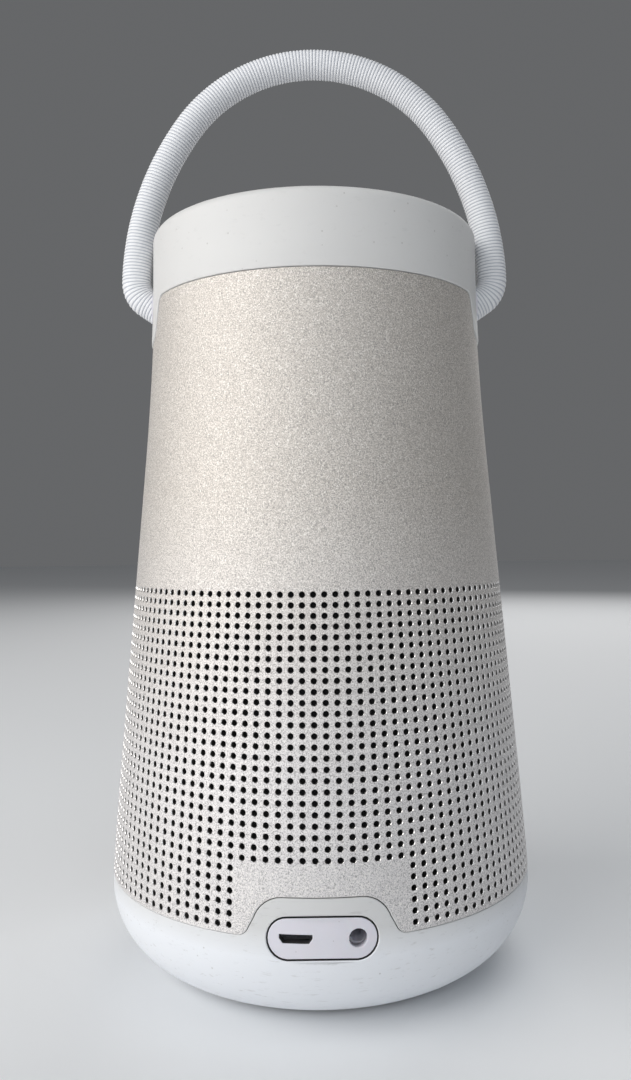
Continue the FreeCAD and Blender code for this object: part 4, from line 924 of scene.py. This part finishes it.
def raise_mark(shell, outline, low_z, high_z):
    """A raised mark with a softened top edge, as material 1, from one loop or an outer and an inner one."""
    edge = 0.08
    outer, *inner = outline
    loops = [outer] + [loop[::-1] for loop in inner]
    tops = [offset_outline(loop, edge, True) for loop in loops]
    fill_face(shell, tops[0], tops[1:], [], level(high_z), 1)
    fill_face(shell, outer, loops[1:], [], level(low_z), 1, flip=True)
    for loop, top in zip(loops, tops):
        stages = ((loop, low_z), (loop, high_z - edge), (top, high_z))
        rings = [[level(z)(p) for p in points] for points, z in stages]
        for lower, upper in zip(rings, rings[1:]):
            join_rings(shell, upper, lower, 1)


def bar_outline(y, long, wide):
    """An upright or lying bar with its middle at (0, y)."""
    return [(a * long / 2, y + b * wide / 2) for a, b in ((-1, -1), (1, -1), (1, 1), (-1, 1))]
def plus_outline(long, wide):
    a, b = long / 2, wide / 2
    quarter = [(a, -b), (a, b), (b, b)]
    out = []
    for turn in range(4):
        c, s = round(math.cos(turn * math.pi / 2)), round(math.sin(turn * math.pi / 2))
        out += [(x * c - y * s, x * s + y * c) for x, y in quarter]
    return out

def ring_loops(radius):
    return [circle_outline(0, 0, radius + side * ICON_LINE / 2, 36) for side in (1, -1)]


def open_ring(radius, half_gap):
    """A ring with a gap at its top, as one outline."""
    first, last = 90 + half_gap, 450 - half_gap
    outside = rounded((0, 0), first, last, radius + ICON_LINE / 2, 30)
    return outside + rounded((0, 0), last, first, radius - ICON_LINE / 2, 30)


ICON_LINE = 0.7
ICON_LONG = 3.6
ICON_DOT = [circle_outline(0, 0, 0.5, 20)]
ICONS = {
    "play_button": [[circle_outline(x, 0, 0.55, 20)] for x in (-1.7, 0.0, 1.7)],
    "volume_up_button": [[plus_outline(ICON_LONG, ICON_LINE)]],
    "source_button": [ring_loops(1.7), ICON_DOT],
    "wireless_button": [ICON_DOT, ring_loops(1.4), ring_loops(2.6)],
    "power_button": [[open_ring(1.7, 32)], [bar_outline(1.5, ICON_LINE, 2.2)]],
    "volume_down_button": [[bar_outline(0, ICON_LONG, ICON_LINE)]],
}


def foot_ring(material):
    """Rubber ring with rounded edges and a fine groove round its sole."""
    shell = Shell()
    round_r = 0.35
    top_z = 1.8
    groove_half = 0.5
    groove_deep = 0.3
    middle = (FOOT_IN_R + FOOT_OUT_R) / 2
    profile = [(FOOT_IN_R, top_z)]
    profile += rounded((FOOT_IN_R + round_r, round_r), 180, 270, round_r, 4)
    profile += [(middle - groove_half, 0.0), (middle - 0.3, groove_deep)]
    profile += [(middle + 0.3, groove_deep), (middle + groove_half, 0.0)]
    profile += rounded((FOOT_OUT_R - round_r, round_r), 270, 360, round_r, 4)
    profile += [(FOOT_OUT_R, top_z)]
    lathe(shell, profile, ring_angles(120), closed=True)
    return shell.build("rubber_foot", [material])


# ---- Materials ----
MIX_FIRST, MIX_SECOND, MIX_RESULT = 6, 7, 2  # colour sockets of a Mix node


class Paint:
    """A node material with a Principled shader, and short ways to add what varies it."""

    def __init__(self, name, color, roughness, metallic=0.0, **sockets):
        self.material = bpy.data.materials.new(name)
        self.material.use_nodes = True
        self.tree = self.material.node_tree
        self.shader = self.tree.nodes["Principled BSDF"]
        self.color = self.node("RGB").outputs[0]
        self.color.default_value = (*color, 1)
        self.bump = None
        self.set("Base Color", (*color, 1))
        self.set("Roughness", roughness)
        self.set("Metallic", metallic)
        for socket, value in sockets.items():
            self.set(socket.replace("_", " "), value)
        self.place = self.node("TexCoord").outputs["Object"]

    def set(self, socket, value):
        self.shader.inputs[socket].default_value = value

    def link(self, source, target):
        self.tree.links.new(source, target)

    def node(self, kind, source=None, **values):
        """A new shader node with its first input linked to source and the named inputs set."""
        node = self.tree.nodes.new("ShaderNode" + kind)
        if source is not None:
            self.link(source, node.inputs[0])
        for name, value in values.items():
            node.inputs[name.replace("_", " ")].default_value = value
        return node

    def math(self, operation, first, second=None):
        node = self.node("Math", first)
        node.operation = operation
        if isinstance(second, float):
            node.inputs[1].default_value = second
        elif second is not None:
            self.link(second, node.inputs[1])
        return node.outputs[0]

    def ramp(self, source, low, high, from_low=0.0, from_high=1.0):
        node = self.node("MapRange", source, From_Min=from_low, From_Max=from_high, To_Min=low, To_Max=high)
        return node.outputs[0]

    def axis(self, name):
        """One of the object's own coordinates, in metres."""
        return self.node("SeparateXYZ", self.place).outputs[name]

    def height_ramp(self, low, high, low_z, high_z):
        """A value that runs from low to high between two heights, in metres."""
        return self.ramp(self.axis("Z"), low, high, low_z, high_z)

    def noise(self, per_mm, detail=2.0, rough=0.5, stretch=(1, 1, 1)):
        """Smooth noise with about that many features per millimetre."""
        place = self.place
        if stretch != (1, 1, 1):
            place = self.node("Mapping", place, Scale=stretch).outputs[0]
        return self.node("TexNoise", place, Scale=per_mm / MM, Detail=detail, Roughness=rough).outputs["Fac"]

    def cells(self, per_mm):
        """Distance from random points, about that many per millimetre, and each cell's own random value."""
        node = self.node("TexVoronoi", self.place, Scale=per_mm / MM)
        return node.outputs["Distance"], self.node("SeparateColor", node.outputs["Color"]).outputs["Red"]

    def tint(self, amount, color, share=1.0):
        """Mix another colour into the base colour by a 0 to 1 amount times share."""
        if share != 1.0:
            amount = self.math("MULTIPLY", amount, share)
        node = self.tree.nodes.new("ShaderNodeMix")
        node.data_type = "RGBA"
        self.link(amount, node.inputs["Factor"])
        self.link(self.color, node.inputs[MIX_FIRST])
        node.inputs[MIX_SECOND].default_value = (*color, 1)
        self.color = node.outputs[MIX_RESULT]
        self.link(self.color, self.shader.inputs["Base Color"])

    def vary_roughness(self, amount, low, high):
        self.link(self.ramp(amount, low, high), self.shader.inputs["Roughness"])

    def relief(self, height, depth_mm, strength=1.0):
        """Bump from a 0 to 1 height, depth_mm deep."""
        node = self.node("Bump", Strength=strength, Distance=depth_mm * MM)
        self.link(height, node.inputs["Height"])
        if self.bump is not None:
            self.link(self.bump, node.inputs["Normal"])
        self.bump = node.outputs[0]
        self.link(self.bump, self.shader.inputs["Normal"])


def scattered(paint, per_mm, size_mm, share):
    """0 to 1 mask of small soft spots: about per_mm cells a millimetre, of which a share show."""
    distance, chance = paint.cells(per_mm)
    spot = paint.ramp(distance, 1.0, 0.0, size_mm * per_mm * 0.4, size_mm * per_mm)
    return paint.math("MULTIPLY", spot, paint.math("LESS_THAN", chance, share))


def mottled(name, color, shade, roughness, metallic=0.0, blotch=(1.5, 2.0), grain=None, **sockets):
    """One colour mottled with another: blotch is noise settings, grain has a depth and strength too."""
    paint = Paint(name, color, roughness, metallic, **sockets)
    paint.tint(paint.noise(*blotch), shade)
    if grain:
        *settings, depth_mm, strength = grain
        paint.relief(paint.noise(*settings), depth_mm, strength)
    return paint.material


def blasted_aluminium():
    """Bead-blasted metal with pale and dark grains, warm above and, as painted reflection, pale and neutral
    round the grille.
    """
    paint = Paint("blasted_aluminium", (0.70, 0.655, 0.61), 0.7, 1.0)
    # painted reflection: the metal turns pale and neutral below 115 mm, fully so below 55 mm, and stays warm
    # above
    paint.tint(paint.height_ramp(0.9, 0.0, 0.055, 0.115), (0.83, 0.815, 0.825))
    grain = paint.noise(3.6, 2.0, 0.7)
    paint.tint(paint.ramp(grain, 0.0, 1.0, 0.5, 0.68), (0.97, 0.95, 0.92))
    paint.tint(paint.ramp(grain, 0.9, 0.0, 0.30, 0.5), (0.35, 0.34, 0.33))
    paint.tint(paint.noise(0.05, 2.0), (0.5, 0.48, 0.455), 0.12)
    paint.vary_roughness(paint.noise(2.0, 2.0), 0.64, 0.82)
    paint.relief(paint.noise(3.2, 2.0, 0.7), 0.03, 0.7)
    return paint.material


def bright_aluminium():
    """Freshly cut metal of the chamfers."""
    grain = (6.0, 1.0, 0.004, 0.3)
    return mottled("bright_aluminium", (0.92, 0.91, 0.90), (0.74, 0.72, 0.70), 0.28, 1.0, (1.4, 2.0), grain)


# painted shade: a dark copy of the sleeve's metal for the walls of the holes, the gaps and the cut edges
def shaded_bore_aluminium():
    return mottled("shaded_bore_aluminium", (0.30, 0.29, 0.28), (0.20, 0.19, 0.18), 0.45, 1.0, (2.0, 2.0))


def inner_aluminium():
    return mottled("inner_aluminium", (0.30, 0.29, 0.28), (0.36, 0.35, 0.33), 0.55, 1.0, (0.6, 3.0))


def speaker_cloth():
    """Fine black weave, paler at its lower edge as painted light."""
    paint = Paint("speaker_cloth", (0.010, 0.010, 0.011), 0.9)
    turn = paint.math("ARCTAN2", paint.axis("Y"), paint.axis("X"))
    warp = paint.math("SINE", paint.math("MULTIPLY", turn, 1400.0))
    weft = paint.math("SINE", paint.math("MULTIPLY", paint.axis("Z"), 28000.0))
    weave = paint.math("MULTIPLY", warp, weft)
    paint.tint(paint.ramp(weave, 0.0, 1.0, -0.2, 1.0), (0.030, 0.030, 0.032))
    # painted light: the cloth turns pale grey below 25 mm, behind the bottom row of holes
    paint.tint(paint.height_ramp(1.0, 0.0, 0.0246, 0.0252), (0.17, 0.17, 0.175))
    paint.relief(weave, 0.05, 0.8)
    return paint.material


def silicone(name, color, shade, roughness=0.55, shade_and_wear_z=None):
    """Soft matt rubber with faint mottling, handling marks and a few specks; given a height in metres, it is
    scratched, and greyer above that height as painted shade.
    """
    paint = Paint(name, color, roughness, Subsurface_Weight=0.08, Subsurface_Scale=0.002)
    paint.set("Subsurface Radius", (1.0, 0.9, 0.8))
    paint.tint(paint.noise(0.06, 3.0), shade, 0.25)
    scuff = paint.noise(0.35, 5.0, 0.65, (1, 1, 2.2))
    paint.tint(paint.ramp(scuff, 0.0, 0.22, 0.60, 0.80), tuple(c * 0.62 for c in shade))
    paint.tint(scattered(paint, 0.6, 0.28, 0.09), (0.30, 0.28, 0.26), 0.45)
    if shade_and_wear_z:
        # painted shade: the rubber turns greyer from this height up over 6 mm; the scratches after it are
        # wear all over
        paint.tint(paint.height_ramp(0.0, 0.9, shade_and_wear_z, shade_and_wear_z + 0.006), (0.63, 0.63, 0.625))
        scratch = paint.noise(0.9, 3.0, 0.6, (0.25, 1.0, 1.6))
        paint.tint(paint.ramp(scratch, 0.0, 0.35, 0.62, 0.72), (0.42, 0.41, 0.40))
    paint.vary_roughness(paint.noise(0.8, 3.0), roughness - 0.06, roughness + 0.08)
    paint.relief(paint.noise(7.0, 2.0), 0.010, 0.5)
    return paint.material


def port_silicone():
    paint = Paint("port_silicone", (0.72, 0.71, 0.765), 0.5, Subsurface_Weight=0.05, Subsurface_Scale=0.001)
    paint.tint(paint.noise(0.3, 3.0), (0.58, 0.58, 0.65), 0.3)
    paint.tint(scattered(paint, 0.9, 0.15, 0.1), (0.22, 0.20, 0.20), 0.5)
    paint.relief(paint.noise(6.0, 2.0), 0.008, 0.5)
    return paint.material


def handle_cover(name, color):
    """Braided textile skin over moulded ribs."""
    paint = Paint(name, color, 0.62)
    paint.tint(paint.noise(0.12, 3.0), (0.56, 0.57, 0.60), 0.22)
    paint.tint(scattered(paint, 0.8, 0.18, 0.05), (0.25, 0.23, 0.22), 0.5)
    paint.relief(paint.noise(5.0, 3.0), 0.02, 0.5)
    return paint.material


def button_mark():
    return mottled("button_mark", (0.36, 0.37, 0.39), (0.30, 0.31, 0.33), 0.5)


def foot_rubber():
    grain = (3.0, 3.0, 0.03, 0.5)
    return mottled("foot_rubber", (0.12, 0.12, 0.125), (0.075, 0.075, 0.08), 0.8, 0.0, (0.8, 3.0), grain)


def moulded(name, color, shade, roughness=0.5):
    """Injection-moulded plastic: fine spark texture and faint flow marks."""
    paint = Paint(name, color, roughness)
    paint.tint(paint.noise(0.08, 3.0), shade)
    paint.vary_roughness(paint.noise(1.0, 2.0), roughness - 0.05, roughness + 0.07)
    paint.relief(paint.noise(4.0, 2.0), 0.015, 0.4)
    return paint.material


def plated(name, color, shade, roughness=0.28):
    """Turned or plated metal with fine lines and tarnish."""
    paint = Paint(name, color, roughness, 1.0)
    paint.tint(paint.noise(0.7, 4.0), shade, 0.6)
    paint.vary_roughness(paint.noise(3.0, 2.0), roughness - 0.08, roughness + 0.12)
    paint.relief(paint.noise(5.0, 2.0, 0.5, (1, 1, 6)), 0.006, 0.4)
    return paint.material


def circuit_board():
    """Green solder mask with fine copper tracks showing through."""
    paint = Paint("circuit_board", (0.010, 0.09, 0.035), 0.35, Coat_Weight=0.3)
    distance, _ = paint.cells(0.55)
    track = paint.ramp(distance, 0.0, 1.0, 0.45, 0.55)
    paint.tint(track, (0.03, 0.20, 0.07), 0.7)
    paint.tint(scattered(paint, 0.7, 0.3, 0.3), (0.55, 0.42, 0.16))
    paint.relief(track, 0.03, 0.5)
    return paint.material


def paper_cone():
    blotch, grain = (1.2, 5.0, 0.7, (1, 1, 0.5)), (2.5, 4.0, 0.7, 0.06, 0.6)
    return mottled("paper_cone", (0.028, 0.028, 0.030), (0.06, 0.06, 0.062), 0.75, 0.0, blotch, grain)


def light_lens():
    color, shade = (0.82, 0.85, 0.88), (0.70, 0.74, 0.78)
    return mottled("light_lens", color, shade, 0.25, grain=(3.0, 2.0, 0.01, 0.3), Transmission_Weight=0.4)


def cell_wrap():
    """Shrink sleeve of the cells, with faint wrinkles."""
    paint = Paint("cell_wrap", (0.03, 0.10, 0.30), 0.32, Coat_Weight=0.2)
    wrinkle = paint.noise(0.25, 4.0, 0.6, (3, 3, 0.4))
    paint.tint(paint.ramp(wrinkle, 0.0, 0.6, 0.45, 0.8), (0.05, 0.14, 0.38))
    paint.relief(wrinkle, 0.12, 0.5)
    return paint.material


def ferrite():
    blotch, grain = (2.5, 5.0, 0.75), (3.0, 4.0, 0.7, 0.04, 0.6)
    return mottled("ferrite", (0.045, 0.045, 0.047), (0.11, 0.11, 0.112), 0.55, 0.0, blotch, grain)


def flat_cable():
    """White ribbon with its conductors showing as fine lines along it."""
    paint = Paint("flat_cable", (0.78, 0.78, 0.76), 0.4)
    pitch = 0.5 * MM
    lines = paint.math("SINE", paint.math("MULTIPLY", paint.axis("X"), 2 * math.pi / pitch))
    paint.tint(paint.ramp(lines, 0.0, 0.5, -0.2, 0.9), (0.52, 0.46, 0.36))
    paint.relief(lines, 0.03, 0.5)
    return paint.material
def make_slot_materials():
    """One finish for each material slot of the record, for the CAD nodes that keep their own mesh."""
    return {
        "aluminium": blasted_aluminium(),
        "silicone": silicone("soft_silicone", (0.68, 0.675, 0.665), (0.58, 0.575, 0.57)),
        "port_plastic": port_silicone(),
        "cloth": speaker_cloth(),
        "handle_fabric": handle_cover("handle_cover", (0.84, 0.845, 0.86)),
        "handle_core": moulded("handle_core_rubber", (0.10, 0.10, 0.105), (0.06, 0.06, 0.065), 0.7),
        "foot_rubber": foot_rubber(),
        "structure": moulded("black_structure", (0.030, 0.030, 0.032), (0.018, 0.018, 0.020)),
        "steel": plated("zinc_steel", (0.60, 0.60, 0.61), (0.46, 0.46, 0.48)),
        "brass": plated("turned_brass", (0.72, 0.55, 0.28), (0.50, 0.36, 0.18)),
        "gold": plated("gold_contact", (0.92, 0.70, 0.32), (0.78, 0.56, 0.26), 0.2),
        "board": circuit_board(),
        "chip": moulded("chip_plastic", (0.020, 0.020, 0.022), (0.035, 0.035, 0.037), 0.45),
        "cable": flat_cable(),
        "cone": paper_cone(),
        "surround": moulded("surround_rubber", (0.020, 0.020, 0.021), (0.035, 0.035, 0.036), 0.6),
        "copper": plated("coil_copper", (0.80, 0.42, 0.24), (0.62, 0.30, 0.18), 0.3),
        "magnet": ferrite(),
        "cell": cell_wrap(),
        "light": light_lens(),
    }


# ---- The object ----
def dress_cad_nodes(finishes):
    """Give each CAD node that keeps its own mesh the finish of its slot."""
    slots = {part["node"]: part["material_slot"] for part in frame["record"]["subparts"]}
    for name, node in frame["nodes"].items():
        if node.hide_render:
            continue
        node.data.materials.clear()
        node.data.materials.append(finishes[slots[name]])

def build_speaker():
    finishes = make_slot_materials()
    metal = [finishes["aluminium"], bright_aluminium(), shaded_bore_aluminium(), inner_aluminium()]
    rubber = finishes["silicone"]
    # painted light: the boot's silicone is a paler, bluer copy of the band's, standing in for light bounced
    # up from the floor
    painted_light_boot_rubber = silicone("boot_silicone_painted_light_and_shade", (0.82, 0.84, 0.875), (0.73, 0.75, 0.79), shade_and_wear_z=0.018)
    # painted shade: a dark material for the walls of the gaps round the port plate, the window and the arch
    gap_shade = moulded("gap_shade", (0.060, 0.058, 0.062), (0.040, 0.038, 0.040), 0.7)
    quarter = COLUMNS // 4
    for piece, slot, node in (
        (sleeve_upper(metal), "aluminium", "aluminium_sleeve"),
        (grille_half("sleeve_grille_front", -quarter, metal), "aluminium", "aluminium_sleeve"),
        (grille_half("sleeve_grille_back", quarter, metal), "aluminium", "aluminium_sleeve"),
        (cloth_liner(finishes["cloth"]), "cloth", "grille_cloth"),
        (top_band(rubber), "silicone", "top_band"),
        (base_boot([painted_light_boot_rubber, gap_shade]), "silicone", "base_boot"),
        (port_plate([finishes["port_plastic"], gap_shade]), "port_plastic", "port_plate"),
        (foot_ring(finishes["foot_rubber"]), "foot_rubber", "foot_ring"),
        (control_pad(rubber), "silicone", "control_pad"),
    ):
        finish_piece(piece, "housing", node)
    mark = button_mark()
    for name, angle in BUTTON_ANGLES.items():
        finish_piece(button_cap(name, math.radians(angle), [rubber, mark]), name, name)
    # painted shade: the grooves get a darker copy of the handle's cover
    grip = [finishes["handle_fabric"], handle_cover("handle_groove_shade", (0.50, 0.52, 0.57))]
    finish_piece(handle_grip(grip), "handle", "handle_grip")
    dress_cad_nodes(finishes)


# ---- Floor, camera and light ----
def stage_floor():
    paint = Paint("pale_floor", (0.88, 0.895, 0.91), 0.8)
    paint.tint(paint.noise(0.004, 2.0), (0.82, 0.835, 0.85), 0.1)
    half = 3.0
    mesh = bpy.data.meshes.new("floor")
    corners = [(-half, -half, 0), (half, -half, 0), (half, half, 0), (-half, half, 0)]
    mesh.from_pydata(corners, [], [(0, 1, 2, 3)])
    mesh.materials.append(paint.material)
    floor = bpy.data.objects.new("floor", mesh)
    bpy.context.collection.objects.link(floor)


def area_light(name, place, target, size, watts, color):
    data = bpy.data.lights.new(name, "AREA")
    data.shape = "RECTANGLE"
    data.size, data.size_y = size
    data.energy = watts
    data.color = color
    lamp = bpy.data.objects.new(name, data)
    lamp.location = place
    lamp.rotation_euler = (Vector(target) - Vector(place)).to_track_quat("-Z", "Y").to_euler()
    bpy.context.collection.objects.link(lamp)


def set_lights():
    aim = (0.0, 0.0, 0.11)
    area_light("key_light", (-0.90, -0.52, 0.50), aim, (1.3, 1.0), 11.4, (1.0, 0.98, 0.955))
    area_light("front_fill", (0.00, -0.95, 0.38), aim, (0.8, 0.6), 2.0, (0.90, 0.95, 1.0))
    area_light("back_fill", (0.35, 1.00, 0.70), aim, (0.9, 0.7), 4.5, (1.0, 0.99, 0.98))
    area_light("overhead", (0.22, -0.22, 0.95), (0.12, -0.12, 0.0), (0.6, 0.6), 1.5, (0.93, 0.965, 1.0))
    world = bpy.data.worlds.new("studio")
    world.use_nodes = True
    backdrop = world.node_tree.nodes["Background"]
    backdrop.inputs["Color"].default_value = (0.88, 0.90, 0.93, 1)
    backdrop.inputs["Strength"].default_value = 0.15
    bpy.context.scene.world = world


def set_camera():
    place = Vector((-0.71, -245.96, 105.16)) * MM
    forward = Vector((0.00736, 0.99830, 0.05785)).normalized()
    up = Vector((0.01080, -0.05793, 0.99825))
    right = forward.cross(up).normalized()
    up = right.cross(forward)
    data = bpy.data.cameras.new("camera")
    data.sensor_fit = "VERTICAL"
    data.sensor_height = 36.0
    data.lens = 30.675
    data.shift_x = -0.00496
    data.shift_y = -0.0558
    data.clip_start = 0.005
    camera = bpy.data.objects.new("camera", data)
    camera.matrix_world = Matrix.Translation(place) @ Matrix((right, up, -forward)).transposed().to_4x4()
    bpy.context.collection.objects.link(camera)
    bpy.context.scene.camera = camera


build_speaker()
stage_floor()
set_lights()
set_camera()
bpy.context.scene.view_settings.view_transform = "Standard"
